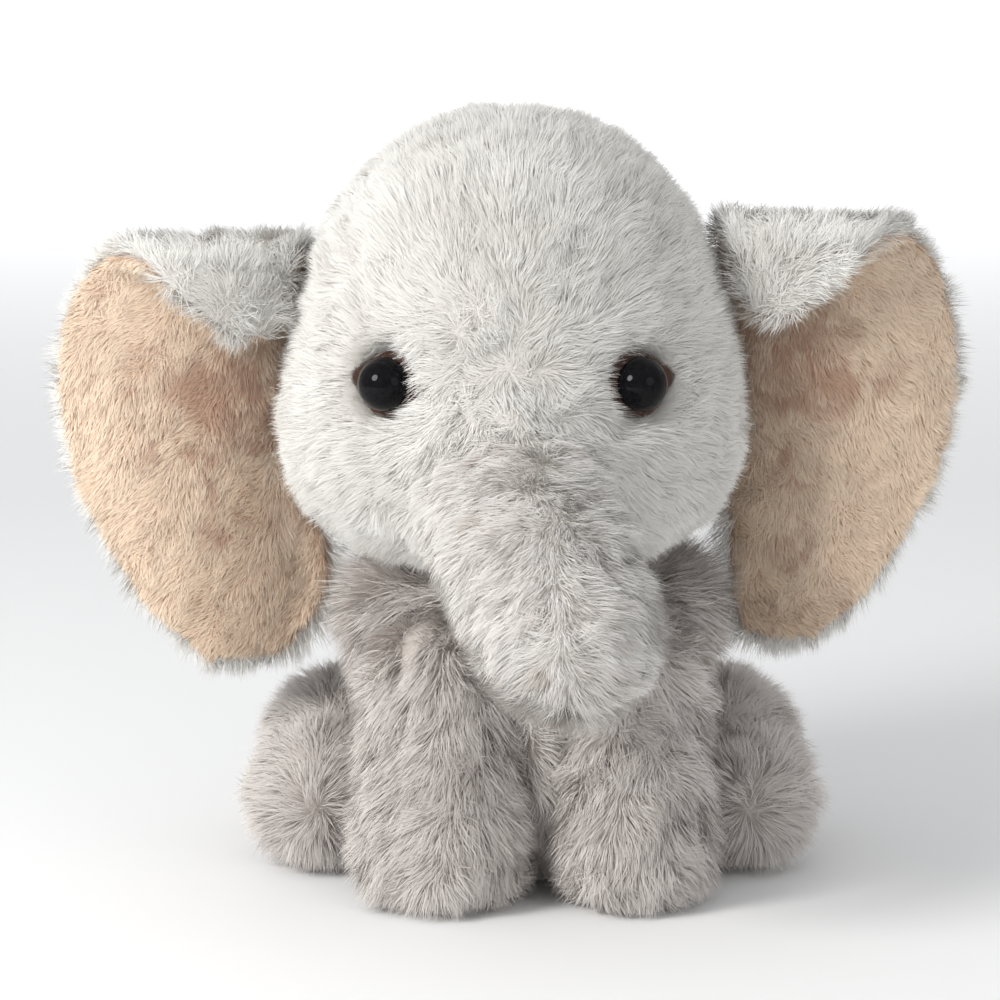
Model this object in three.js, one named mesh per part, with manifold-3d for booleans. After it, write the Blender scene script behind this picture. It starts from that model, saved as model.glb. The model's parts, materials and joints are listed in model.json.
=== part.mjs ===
// Sitting plush elephant: plush skins over stuffing, safety eyes, lined ears, jointed at every sewn seam.
// Millimetres, +Z up, the face looks along -Y, the toy sits on Z = 0. Left and right are the viewer's.
import * as THREE from "three";
import { mergeVertices } from "three/addons/utils/BufferGeometryUtils.js";
import { ConvexGeometry } from "three/addons/geometries/ConvexGeometry.js";
import Module from "manifold-3d";

// ---------- driving dimensions ----------
const FRAME_Y = 12.2; // moves the toy back so that its bounds are centred over the origin
const BODY_X = 4.8; // the body sits a little to the right of the head
const GAP = 0.3; // clearance between neighbouring pieces
const STUFFING_GAP = GAP + 0.1; // clearance between a skin and the stuffing in it
const FAR = 250; // past the toy's outside in every direction
const HEAD_SKIN = 3.5; // backing cloth with half its pile
const BODY_SKIN = 4; // the body's pile is longer

const NECK = { y: 5, z: 76, low: 64, high: 86, radius: 14, wall: 1.4 };
const NECK_HOLE = { torsoRadius: 15, torsoLow: 61.5, headRadius: 17, headHigh: 88 };
const TRUNK_PIVOT = [0.5, -36, 100];
const TRUNK_BALL = 22;
const TRUNK_CLEAR = 0.7;
const TRUNK_SWEEP_DEG = [-26, -13, 0, 12];
const EYE = { x: 30, z: 125, radius: 6.25, height: 6, rim: 0.6, stem: 2, stemLength: 11 };
const EYE_SEAT = { depth: -2.2, tilt: 0.0022 };
const FELT = { radius: 7.6, point: 9.6, thick: 1, pocket: 10.4 };
const FELT_CORNER = { turn: Math.PI * 0.06, sharpness: 12 };
const WASHER = { radius: 7, thick: 1.4, hole: 2.35, inside: 1.2 };
const BACK_SEAM_Y = 20; // where the head's side panels meet its back panel
const BELLY_SEAM_Y = 6; // where the belly panel meets the back panels
const FRONT_LEGS = {
  left: { x: -21.6, girth: 1 },
  right: { x: 23.8, girth: 0.93 },
};
const FRONT_LEG = { pivotY: -18, pivotZ: 52, clear: 0.7 };
const FRONT_LEG_SWEEP_DEG = [-20, -10, 0, 6];
const HIND_LEG = { inner: 33.6, pivotY: 29, pivotZ: 22, discRadius: 31, spaceTop: 46, clear: 0.6 };
const HAUNCH = { x: 46, y: 29, z: 21.2, radii: [20.5, 29, 21] };
const HIND_FOOT = { x: 51.5, y: 4, z: 17.2, radii: [17, 16, 17] };
const BAG = { y: 22, z: 16, radii: [20, 20, 9] };
const TAIL = { y: 54, z: 40 };
const TAIL_TUFT = { y: 67, z: 12, radii: [4.6, 4.6, 6] };
const STITCH = { heights: [46, 51, 56, 61, 66], radius: 0.5, stand: 0.9 };
const LABEL = { x: 10.6, low: [57.5, 10], high: [66, 22], thick: 0.6 };
const EARS = {
  left: { side: -1, lift: 0, reach: 57.5, lobe: -6 },
  right: { side: 1, lift: 5, reach: 55.5, lobe: 3.5 },
};
const EAR = { baseX: 50, y: 15, outer: 3, lining: 2, halfGap: 0.25, seamGap: 1.5 };
const EAR_FOLD = { z: 143.5, radius: 8 };
const EAR_CURVE = { forward: 12, ridge: 0.52, back: 6, lobeZ: 92, lobeHeight: 38, lobeForward: 3 };
const HEAD_SIDES = 20;
const TORSO_SIDES = 20;
const LEG_SIDES = 14;
const THINNEST_SLICE = 2; // a thinner slice is left out of a stacked solid
const SMALLEST_HALF = 1.2; // half width below which an inset slice shrinks no further

// ---------- colours ----------
const COLOUR = {
  headPlush: 0xd7d5d0,
  bodyPlush: 0xb9b2ac,
  lining: 0xd7b99b,
  stuffing: 0xf1efe9,
  felt: 0x46301f,
  eye: 0x0f0f12,
  washer: 0xe8e6df,
  thread: 0xc9c5bf,
  label: 0xf3f2ee,
  pellets: 0xe3ddcf,
};

const wasm = await Module();
wasm.setup();
const group = new THREE.Group();
group.name = "stuffed_elephant";

// ---------- solids ----------
function toManifold(geometry) {
  const clean = geometry.clone();
  clean.deleteAttribute("normal");
  clean.deleteAttribute("uv");
  const merged = mergeVertices(clean, 1e-4);
  const vertProperties = new Float32Array(merged.attributes.position.array);
  const triVerts = new Uint32Array(merged.index.array);
  return new wasm.Manifold(new wasm.Mesh({ numProp: 3, vertProperties, triVerts }));
}

function toGeometry(solid) {
  const mesh = solid.getMesh();
  const geometry = new THREE.BufferGeometry();
  geometry.setAttribute("position", new THREE.BufferAttribute(new Float32Array(mesh.vertProperties), 3));
  geometry.setIndex(new THREE.BufferAttribute(new Uint32Array(mesh.triVerts), 1));
  return geometry;
}

function addNode(name, solid, colour, roughness = 0.95) {
  const material = new THREE.MeshStandardMaterial({ color: colour, roughness, metalness: 0 });
  const mesh = new THREE.Mesh(toGeometry(solid), material);
  mesh.name = name;
  mesh.geometry.translate(0, FRAME_Y, 0);
  mesh.geometry.computeVertexNormals();
  group.add(mesh);
}

// A closed skin through rings of points, with one point at each end.
function skinOver(rings, start, end) {
  const sides = rings[0].length;
  const points = [...rings.flat(), start, end];
  const index = [];
  for (let ring = 0; ring < rings.length - 1; ring++) {
    for (let k = 0; k < sides; k++) {
      const a = ring * sides + k;
      const b = ring * sides + ((k + 1) % sides);
      index.push(a, b, b + sides, a, b + sides, a + sides);
    }
  }
  const first = rings.length * sides;
  const last = (rings.length - 1) * sides;
  for (let k = 0; k < sides; k++) {
    const next = (k + 1) % sides;
    index.push(first, next, k);
    index.push(first + 1, last + k, last + next);
  }
  return closedSolid(points, index);
}

function closedSolid(points, index) {
  const geometry = new THREE.BufferGeometry();
  geometry.setAttribute("position", new THREE.Float32BufferAttribute(points.flat(), 3));
  geometry.setIndex(index);
  const solid = toManifold(geometry);
  if (solid.volume() > 0) return solid;
  geometry.setIndex(index.reverse());
  return toManifold(geometry);
}

// A sheet between two faces, each given as the same rows of points.
function sheetSolid(points, rows, columns) {
  const half = rows * columns;
  const index = [];
  const both = (a, b, c) => index.push(a, b, c, half + a, half + c, half + b);
  const wall = (a, b) => index.push(a, half + a, half + b, a, half + b, b);
  for (let row = 0; row < rows - 1; row++) {
    for (let k = 0; k < columns - 1; k++) {
      const a = row * columns + k;
      both(a, a + 1, a + columns + 1);
      both(a, a + columns + 1, a + columns);
    }
    wall((row + 1) * columns, row * columns);
    wall(row * columns + columns - 1, (row + 1) * columns + columns - 1);
  }
  for (let k = 0; k < columns - 1; k++) {
    wall(k, k + 1);
    wall((rows - 1) * columns + k + 1, (rows - 1) * columns + k);
  }
  return closedSolid(points, index);
}

// A solid of oval slices stacked up Z: each row is [z, half width, half depth, centre y].
function stack(rows, centreX, inset = 0, sides = 22) {
  const kept = rows.slice(1, -1).filter((row) => Math.min(row[1], row[2]) > inset + THINNEST_SLICE);
  const rings = kept.map(([z, halfX, halfY, y]) => {
    const ring = [];
    for (let k = 0; k < sides; k++) {
      const turn = (2 * Math.PI * k) / sides;
      const x = centreX + (halfX - inset) * Math.cos(turn);
      ring.push([x, y + (halfY - inset) * Math.sin(turn), z]);
    }
    return ring;
  });
  const bottom = rows[0];
  const top = rows[rows.length - 1];
  const low = Math.min(bottom[0] + inset, kept[0][0]);
  const high = Math.max(top[0] - inset, kept[kept.length - 1][0]);
  return skinOver(rings, [centreX, bottom[3], low], [centreX, top[3], high]);
}

// The same slices with each one moved in along Z as well, so the wall keeps its thickness at both ends.
function stackInset(rows, centreX, inset, sides = 22) {
  const low = rows[0][0];
  const high = rows[rows.length - 1][0];
  const squeeze = (high - low - 2 * inset) / (high - low);
  const shrunk = rows.map(([z, halfX, halfY, y]) => {
    const height = low + inset + (z - low) * squeeze;
    return [height, Math.max(halfX - inset, SMALLEST_HALF), Math.max(halfY - inset, SMALLEST_HALF), y];
  });
  return stack(shrunk, centreX, 0, sides);
}

function ellipsoid(centre, radii, sides = 18, rings = 10) {
  const geometry = new THREE.SphereGeometry(1, sides, rings);
  geometry.scale(...radii);
  geometry.translate(...centre);
  return toManifold(geometry);
}

function box(low, high) {
  const geometry = new THREE.BoxGeometry(high[0] - low[0], high[1] - low[1], high[2] - low[2]);
  geometry.translate((low[0] + high[0]) / 2, (low[1] + high[1]) / 2, (low[2] + high[2]) / 2);
  return toManifold(geometry);
}

// Everything between two distances along one axis.
function slab(axis, from, to) {
  const low = [-FAR, -FAR, -FAR];
  const high = [FAR, FAR, FAR];
  low[axis] = Math.min(from, to);
  high[axis] = Math.max(from, to);
  return box(low, high);
}

// A round bar along a direction, from one distance to another past a point.
function bar(point, direction, from, to, radius, sides = 16) {
  const axis = new THREE.Vector3(...direction).normalize();
  const geometry = new THREE.CylinderGeometry(radius, radius, to - from, sides);
  geometry.applyQuaternion(new THREE.Quaternion().setFromUnitVectors(new THREE.Vector3(0, 1, 0), axis));
  const middle = axis.multiplyScalar((from + to) / 2).add(new THREE.Vector3(...point));
  geometry.translate(middle.x, middle.y, middle.z);
  return toManifold(geometry);
}

// A round tube with domed ends along a smooth line: each row is [x, y, z, radius].
function tubeAlong(rows, inset, sides = 14) {
  const line = new THREE.CatmullRomCurve3(rows.map((row) => new THREE.Vector3(row[0], row[1], row[2])));
  const steps = 6;
  const domeTurns = [25, 55];
  const rings = [];
  const radiusAt = (t) => {
    const place = t * (rows.length - 1);
    const k = Math.min(Math.floor(place), rows.length - 2);
    return rows[k][3] + (rows[k + 1][3] - rows[k][3]) * (place - k);
  };
  const frameAt = (t) => {
    const ahead = line.getTangent(t).normalize();
    const side = new THREE.Vector3(0, 0, 1).cross(ahead).normalize();
    const up = ahead.clone().cross(side);
    return { ahead, side, up, at: line.getPoint(t) };
  };
  const ringAt = (frame, radius, shift) => {
    const ring = [];
    for (let k = 0; k < sides; k++) {
      const turn = (2 * Math.PI * k) / sides;
      const point = frame.at.clone().addScaledVector(frame.ahead, shift);
      point.addScaledVector(frame.side, radius * Math.cos(turn));
      point.addScaledVector(frame.up, radius * Math.sin(turn));
      ring.push(point.toArray());
    }
    return ring;
  };
  const start = frameAt(0);
  const end = frameAt(1);
  const startRadius = radiusAt(0) - inset;
  const endRadius = radiusAt(1) - inset;
  for (const turn of domeTurns) {
    const a = THREE.MathUtils.degToRad(turn);
    rings.push(ringAt(start, startRadius * Math.sin(a), -startRadius * Math.cos(a)));
  }
  for (let k = 0; k <= steps; k++) rings.push(ringAt(frameAt(k / steps), radiusAt(k / steps) - inset, 0));
  for (const turn of domeTurns.toReversed()) {
    const a = THREE.MathUtils.degToRad(turn);
    rings.push(ringAt(end, endRadius * Math.sin(a), endRadius * Math.cos(a)));
  }
  const first = start.at.clone().addScaledVector(start.ahead, -startRadius).toArray();
  const last = end.at.clone().addScaledVector(end.ahead, endRadius).toArray();
  return skinOver(rings, first, last);
}

function turned(solid, pivot, axis, degrees) {
  const geometry = toGeometry(solid);
  geometry.translate(-pivot[0], -pivot[1], -pivot[2]);
  const turn = THREE.MathUtils.degToRad(degrees);
  geometry.applyMatrix4(new THREE.Matrix4().makeRotationAxis(new THREE.Vector3(...axis).normalize(), turn));
  geometry.translate(...pivot);
  return toManifold(geometry);
}

// The convex space a solid takes as it swings about an axis.
function swept(solid, pivot, axis, angles) {
  const points = [];
  for (const angle of angles) {
    const { position } = toGeometry(turned(solid, pivot, axis, angle)).attributes;
    for (let k = 0; k < position.count; k++) {
      points.push(new THREE.Vector3().fromBufferAttribute(position, k));
    }
  }
  return toManifold(new ConvexGeometry(points));
}

function largest(solid) {
  const bodies = solid.decompose();
  return bodies.reduce((best, body) => (body.volume() > best.volume() ? body : best));
}

// ---------- head ----------
const HEAD_ROWS = [
  [76, 0, 0, 0],
  [77.5, 20, 19, 0],
  [82, 36, 34, 0],
  [91, 49, 46, 0],
  [100, 53.5, 49.5, 0.5],
  [110, 55, 51, 1],
  [122, 53.5, 51, 1.5],
  [135, 50.5, 50, 2],
  [148, 47, 47.5, 2.5],
  [159, 42.5, 43, 3],
  [169, 35.5, 36, 3],
  [177, 26, 27, 3],
  [182, 16, 16.5, 3],
  [184.5, 0, 0, 3],
];
const headOuter = stack(HEAD_ROWS, 0, 0, HEAD_SIDES);
const headInner = stackInset(HEAD_ROWS, 0, HEAD_SKIN, HEAD_SIDES);
const headCore = stackInset(HEAD_ROWS, 0, HEAD_SKIN + STUFFING_GAP, HEAD_SIDES);

function headHalfWidth(z) {
  const upper = HEAD_ROWS.findIndex((row) => row[0] >= z);
  const [z0, x0] = HEAD_ROWS[upper - 1];
  const [z1, x1] = HEAD_ROWS[upper];
  return x0 + ((x1 - x0) * (z - z0)) / (z1 - z0);
}

// ---------- trunk ----------
const TRUNK_ROWS = [
  [...TRUNK_PIVOT, TRUNK_BALL],
  [2, -52, 95.5, 21.8],
  [7, -67, 86, 20.6],
  [12, -77.6, 75.5, 19.4],
];
const trunkOuter = tubeAlong(TRUNK_ROWS, 0);
const trunkInner = tubeAlong(TRUNK_ROWS, HEAD_SKIN);
const trunkCore = tubeAlong(TRUNK_ROWS, HEAD_SKIN + STUFFING_GAP);
const trunkSpace = swept(tubeAlong(TRUNK_ROWS, -TRUNK_CLEAR), TRUNK_PIVOT, [1, 0, 0], TRUNK_SWEEP_DEG);

// A thin ribbon along the trunk's middle, where its upper and under panels meet.
function trunkSeam() {
  const line = new THREE.CatmullRomCurve3(TRUNK_ROWS.map((row) => new THREE.Vector3(row[0], row[1], row[2])));
  const reach = 30;
  const rings = [];
  const steps = 6;
  const corners = [[1, 1], [-1, 1], [-1, -1], [1, -1]];
  for (let k = -1; k <= steps + 1; k++) {
    const t = Math.min(Math.max(k / steps, 0), 1);
    const ahead = line.getTangent(t).normalize();
    const side = new THREE.Vector3(0, 0, 1).cross(ahead).normalize();
    const up = ahead.clone().cross(side);
    const past = Math.sign(k / steps - t) * reach;
    const at = line.getPoint(t).addScaledVector(ahead, past);
    rings.push(corners.map(([across, high]) => {
      const corner = at.clone().addScaledVector(side, across * reach);
      return corner.addScaledVector(up, (high * GAP) / 2).toArray();
    }));
  }
  const centre = (ring) => [0, 1, 2].map((axis) => (ring[0][axis] + ring[2][axis]) / 2);
  return skinOver(rings, centre(rings[0]), centre(rings[rings.length - 1]));
}

const trunkSkin = trunkOuter.subtract(trunkInner).subtract(trunkSeam());
const trunkHalves = trunkSkin.decompose().sort((a, b) => b.boundingBox().max[2] - a.boundingBox().max[2]);
addNode("trunk_upper_panel", trunkHalves[0], COLOUR.headPlush);
addNode("trunk_under_panel", trunkHalves[1], COLOUR.headPlush);
addNode("trunk_stuffing", trunkCore, COLOUR.stuffing);

// ---------- eyes ----------
// An eye's seat on the head's surface: where it is and which way it faces.
function eyeSeat(side) {
  const x = side * EYE.x;
  const row = HEAD_ROWS.find((candidate) => candidate[0] >= EYE.z);
  const halfX = headHalfWidth(EYE.z);
  const halfY = row[2];
  const y = row[3] - halfY * Math.sqrt(1 - (x / halfX) ** 2);
  const normal = new THREE.Vector3(x / halfX ** 2, (y - row[3]) / halfY ** 2, EYE_SEAT.tilt).normalize();
  return { point: [x, y, EYE.z], normal: normal.toArray() };
}

// Turns a solid made along +Z so that it stands on the seat, a distance out from the skin.
function onSeat(geometry, seat, out) {
  const normal = new THREE.Vector3(...seat.normal);
  const up = new THREE.Vector3(0, 0, 1);
  const side = up.clone().cross(normal).normalize();
  const vertical = normal.clone().cross(side);
  const basis = new THREE.Matrix4().makeBasis(side, vertical, normal);
  const place = new THREE.Vector3(...seat.point).addScaledVector(normal, out);
  geometry.applyMatrix4(basis);
  geometry.translate(place.x, place.y, place.z);
  return toManifold(geometry);
}

function eyeDome() {
  const profile = [new THREE.Vector2(0, -EYE.stemLength), new THREE.Vector2(EYE.stem, -EYE.stemLength)];
  profile.push(new THREE.Vector2(EYE.stem, 0), new THREE.Vector2(EYE.radius - GAP, 0));
  for (let k = 0; k <= 5; k++) {
    const turn = (Math.PI / 2) * (k / 5);
    profile.push(new THREE.Vector2(EYE.radius * Math.cos(turn), EYE.rim + EYE.height * Math.sin(turn)));
  }
  profile[profile.length - 1].x = 0;
  const geometry = new THREE.LatheGeometry(profile, 16);
  geometry.rotateX(Math.PI / 2);
  return geometry;
}

// A felt disc drawn out to a point at the eye's outer corner, with a hole for the eye's stem.
function feltShape(side) {
  const shape = new THREE.Shape();
  const points = 16;
  for (let k = 0; k < points; k++) {
    const turn = (2 * Math.PI * k) / points;
    const toCorner = Math.max(0, Math.cos(turn - FELT_CORNER.turn)) ** FELT_CORNER.sharpness;
    const radius = FELT.radius + (FELT.point - FELT.radius) * toCorner;
    const x = side * radius * Math.cos(turn);
    const y = radius * Math.sin(turn);
    if (k === 0) shape.moveTo(x, y);
    else shape.lineTo(x, y);
  }
  shape.closePath();
  const hole = new THREE.Path();
  hole.absarc(0, 0, EYE.stem + GAP, 0, 2 * Math.PI, false);
  shape.holes.push(hole);
  return new THREE.ExtrudeGeometry(shape, { depth: FELT.thick, bevelEnabled: false, curveSegments: 5 });
}

let headSkin = headOuter.subtract(headInner);
let headStuffing = headCore;
for (const [name, side] of [["left", -1], ["right", 1]]) {
  const seat = eyeSeat(side);
  const pocket = bar(seat.point, seat.normal, EYE_SEAT.depth - FELT.thick - GAP, 12, FELT.pocket);
  const stemHole = bar(seat.point, seat.normal, -14, 4, EYE.stem + GAP, 12);
  const washerSpace = bar(seat.point, seat.normal, -EYE.stemLength - 4, 6, WASHER.radius + 1);
  headSkin = headSkin.subtract(pocket).subtract(stemHole);
  headStuffing = headStuffing.subtract(washerSpace);
  addNode(`eye_${name}`, onSeat(eyeDome(), seat, EYE_SEAT.depth + GAP), COLOUR.eye, 0.08);
  addNode(`eye_felt_${name}`, onSeat(feltShape(side), seat, EYE_SEAT.depth - FELT.thick), COLOUR.felt);
  const ring = new THREE.Shape();
  ring.absarc(0, 0, WASHER.radius, 0, 2 * Math.PI, false);
  const hole = new THREE.Path();
  hole.absarc(0, 0, WASHER.hole, 0, 2 * Math.PI, false);
  ring.holes.push(hole);
  const flatRing = { depth: WASHER.thick, bevelEnabled: false, curveSegments: 8 };
  const washer = new THREE.ExtrudeGeometry(ring, flatRing);
  const inside = -HEAD_SKIN - GAP - WASHER.inside - WASHER.thick;
  addNode(`eye_washer_${name}`, onSeat(washer, seat, inside), COLOUR.washer, 0.5);
}

const neckPoint = [0, NECK.y, NECK.z];
const neckBar = (low, high, radius) => bar(neckPoint, [0, 0, 1], low - NECK.z, high - NECK.z, radius);
const headHole = neckBar(NECK.low, NECK_HOLE.headHigh, NECK_HOLE.headRadius);
headSkin = headSkin.subtract(trunkSpace).subtract(headHole);
headStuffing = headStuffing.subtract(trunkSpace).subtract(headHole);
const headBack = headSkin.intersect(slab(1, BACK_SEAM_Y + GAP, FAR));
const headFront = headSkin.intersect(slab(1, -FAR, BACK_SEAM_Y));
addNode("head_left_panel", largest(headFront.intersect(slab(0, -FAR, -GAP / 2))), COLOUR.headPlush);
addNode("head_right_panel", largest(headFront.intersect(slab(0, GAP / 2, FAR))), COLOUR.headPlush);
addNode("head_back_panel", largest(headBack), COLOUR.headPlush);
addNode("head_stuffing", largest(headStuffing), COLOUR.stuffing);

// ---------- ears ----------
// The ear's two sides, from the lobe to the rolled edge: each row is [height along the cloth, distance out].
function earSides(ear) {
  const seam = (z) => headHalfWidth(Math.min(z, 158)) + EAR.seamGap - EAR.baseX;
  const inner = [
    [53.5, 7],
    [55.5, 2.5],
    [61, ear.lobe + 1.5],
    [71, ear.lobe],
    [83, Math.max(ear.lobe, -3.5)],
    [91, Math.max(ear.lobe, 1)],
    [98, seam(98) + 0.5],
    [110, seam(110)],
    [122, seam(122)],
    [133, seam(133)],
    [143, seam(143)],
    [152, seam(149) + 1.5],
    [162, seam(144) + 3.2],
    [172, seam(135) + 3.6],
    [180, seam(128) + 4.6],
  ];
  const rim = [
    [53.5, 0.4],
    [57.5, 0.51],
    [66, 0.64],
    [78, 0.77],
    [92, 0.905],
    [106, 0.98],
    [119, 1],
    [129, 0.99],
    [138, 0.945],
    [146, 0.86],
    [157, 0.7],
    [170, 0.48],
    [180, 0.27],
  ];
  return { inner, outer: rim.map(([z, share]) => [z, share * ear.reach]) };
}

function between(table, height) {
  const upper = Math.max(1, table.findIndex((row) => row[0] >= height));
  const [z0, x0] = table[upper - 1];
  const [z1, x1] = table[upper];
  return x0 + ((x1 - x0) * (height - z0)) / (z1 - z0);
}

// A point of the ear's cloth in space: it comes forward from its deep seam to a ridge, and its outer part
// goes back again. The top edge is rolled over to the front.
function earPoint(ear, out, height) {
  const share = Math.max(out, 0) / ear.reach;
  const forward = Math.sin((Math.PI / 2) * Math.min(share / EAR_CURVE.ridge, 1));
  const back = Math.max(0, share - EAR_CURVE.ridge) / (1 - EAR_CURVE.ridge);
  const low = Math.max(0, (EAR_CURVE.lobeZ - height) / EAR_CURVE.lobeHeight);
  let y = EAR.y - EAR_CURVE.forward * forward + EAR_CURVE.back * back ** 2 - EAR_CURVE.lobeForward * low ** 2;
  let z = height;
  const past = height - EAR_FOLD.z;
  if (past > 0) {
    const turn = Math.min(past / EAR_FOLD.radius, Math.PI);
    y -= EAR_FOLD.radius * (1 - Math.cos(turn));
    z = EAR_FOLD.z + EAR_FOLD.radius * Math.sin(turn);
    z -= Math.max(0, past - Math.PI * EAR_FOLD.radius);
  }
  return new THREE.Vector3(ear.side * (EAR.baseX + out), y, z + ear.lift);
}

// One layer of the ear between two distances from its middle cloth, counted towards the back.
function earLayer(ear, front, back) {
  const { inner, outer } = earSides(ear);
  const flatRows = 7;
  const rolledRows = 6;
  const columns = 7;
  const low = inner[0][0];
  const high = inner[inner.length - 1][0];
  const heights = [];
  for (let k = 0; k < flatRows; k++) {
    heights.push(low + ((EAR_FOLD.z - low) * k) / flatRows);
  }
  for (let k = 0; k <= rolledRows; k++) {
    heights.push(EAR_FOLD.z + ((high - EAR_FOLD.z) * k) / rolledRows);
  }
  const place = (out, height, offset) => {
    const step = 0.4;
    const at = earPoint(ear, out, height);
    const alongOut = earPoint(ear, out + step, height).sub(at);
    const alongUp = earPoint(ear, out, height + step).sub(at);
    const normal = alongUp.cross(alongOut).multiplyScalar(ear.side).normalize();
    return at.addScaledVector(normal, offset).toArray();
  };
  const points = [];
  for (const offset of [front, back]) {
    for (const height of heights) {
      const from = between(inner, height);
      const to = between(outer, height);
      for (let k = 0; k <= columns; k++) {
        points.push(place(from + ((to - from) * k) / columns, height, offset));
      }
    }
  }
  return sheetSolid(points, heights.length, columns + 1);
}

for (const [name, ear] of Object.entries(EARS)) {
  addNode(`ear_outer_${name}`, earLayer(ear, EAR.halfGap, EAR.outer), COLOUR.headPlush);
  addNode(`ear_lining_${name}`, earLayer(ear, -EAR.lining, -EAR.halfGap), COLOUR.lining);
}

// ---------- legs ----------
const FRONT_LEG_ROWS = [
  [0, 0, 0, -26],
  [0, 15, 15.5, -26],
  [5, 18.4, 19, -26.5],
  [12, 20, 20.5, -26.5],
  [22, 19.4, 19.8, -25],
  [34, 18.4, 18.6, -22],
  [44, 17.8, 18, -19.5],
  [52, 17.5, 17.5, -18],
  [58.5, 16, 16.3, -18],
  [64.5, 12.2, 12.2, -18],
  [69.5, 0, 0, -18],
];

// Splits a leg's shell into the leg panel and the sole, either side of a plane.
function legNodes(name, outer, inner, core, soleSide, legSide) {
  const shell = outer.subtract(inner);
  addNode(`${name}_panel`, largest(shell.intersect(legSide)), COLOUR.bodyPlush);
  addNode(`${name}_sole`, largest(shell.intersect(soleSide)), COLOUR.bodyPlush);
  addNode(`${name}_stuffing`, core, COLOUR.stuffing);
}

const SOLE_Z = 6;
let frontLegSpace = null;
for (const [name, leg] of Object.entries(FRONT_LEGS)) {
  const x = BODY_X + leg.x;
  const rows = FRONT_LEG_ROWS.map(([z, halfX, halfY, y]) => [z, halfX * leg.girth, halfY * leg.girth, y]);
  const pivot = [x, FRONT_LEG.pivotY, FRONT_LEG.pivotZ];
  const outer = stack(rows, x, 0, LEG_SIDES);
  const inner = stackInset(rows, x, BODY_SKIN, LEG_SIDES);
  const core = stackInset(rows, x, BODY_SKIN + STUFFING_GAP, LEG_SIDES);
  legNodes(`front_leg_${name}`, outer, inner, core, slab(2, -FAR, SOLE_Z), slab(2, SOLE_Z + GAP, FAR));
  const space = swept(stack(rows, x, -FRONT_LEG.clear, LEG_SIDES), pivot, [1, 0, 0], FRONT_LEG_SWEEP_DEG);
  frontLegSpace = frontLegSpace ? frontLegSpace.add(space) : space;
}

// The haunch and the foot in front of it make one hind leg, flat where it lies along the body.
function hindLegSolid(side, inset) {
  const [haunch, foot] = [HAUNCH, HIND_FOOT].map((form) => {
    const centre = [BODY_X + side * form.x, form.y, form.z];
    return ellipsoid(centre, form.radii.map((radius) => radius - inset), LEG_SIDES, 8);
  });
  const flat = BODY_X + side * (HIND_LEG.inner + inset);
  return haunch.add(foot).intersect(slab(0, flat, side * FAR));
}

const HIND_SOLE_Y = -5;
for (const [name, side] of [["left", -1], ["right", 1]]) {
  const [outer, inner, core] = [0, BODY_SKIN, BODY_SKIN + GAP].map((inset) => hindLegSolid(side, inset));
  const soleSide = slab(1, -FAR, HIND_SOLE_Y - GAP);
  legNodes(`hind_leg_${name}`, outer, inner, core, soleSide, slab(1, HIND_SOLE_Y, FAR));
}

// ---------- torso ----------
const TORSO_ROWS = [
  [0, 0, 0, 18],
  [0, 22, 26, 18],
  [8, 31, 36, 16],
  [18, 36, 41, 14.5],
  [30, 39, 42, 13],
  [43, 41.5, 41, 11],
  [55, 42, 38.5, 8.5],
  [64, 42, 37, 6.5],
  [69.5, 39.5, 34.5, 5.5],
  [73, 33, 30, 5],
  [74.5, 0, 0, 5],
];
const torsoOuter = stack(TORSO_ROWS, BODY_X, 0, TORSO_SIDES);
const torsoInner = stackInset(TORSO_ROWS, BODY_X, BODY_SKIN, TORSO_SIDES);
const torsoCore = stackInset(TORSO_ROWS, BODY_X, BODY_SKIN + STUFFING_GAP, TORSO_SIDES);

// The side spaces that the hind legs fill and swing in.
function hindLegSpace() {
  const flat = HIND_LEG.inner - HIND_LEG.clear;
  return [-1, 1].map((side) => {
    const along = [BODY_X, HIND_LEG.pivotY, HIND_LEG.pivotZ];
    const disc = bar(along, [side, 0, 0], flat, FAR, HIND_LEG.discRadius, 24);
    const inFront = slab(1, -FAR, HIND_LEG.pivotY).intersect(slab(2, -FAR, HIND_LEG.spaceTop));
    return inFront.intersect(slab(0, BODY_X + side * flat, side * FAR)).add(disc);
  }).reduce((all, one) => all.add(one));
}

const limbSpace = frontLegSpace.add(hindLegSpace());
const neckHole = neckBar(NECK_HOLE.torsoLow, NECK.high, NECK_HOLE.torsoRadius);
const torsoShell = torsoOuter.subtract(torsoInner).subtract(limbSpace).subtract(neckHole);
const backShell = torsoShell.intersect(slab(1, BELLY_SEAM_Y + GAP, FAR));
addNode("belly_panel", largest(torsoShell.intersect(slab(1, -FAR, BELLY_SEAM_Y))), COLOUR.bodyPlush);
addNode("back_left_panel", largest(backShell.intersect(slab(0, -FAR, BODY_X - GAP / 2))), COLOUR.bodyPlush);
addNode("back_right_panel", largest(backShell.intersect(slab(0, BODY_X + GAP / 2, FAR))), COLOUR.bodyPlush);

const bagCentre = [BODY_X, BAG.y, BAG.z];
const bagSolid = (clearance) => ellipsoid(bagCentre, BAG.radii.map((radius) => radius + clearance), 14, 8);
const bagSpace = bagSolid(STUFFING_GAP);
const bagWay = bar(bagCentre, [0, 0, -1], 0, BAG.z + GAP, BAG.radii[0] * 0.6);
const torsoStuffing = torsoCore.subtract(limbSpace).subtract(neckHole).subtract(bagSpace).subtract(bagWay);
addNode("torso_stuffing", largest(torsoStuffing), COLOUR.stuffing);
addNode("pellet_bag", bagSolid(0), COLOUR.pellets);

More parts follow.
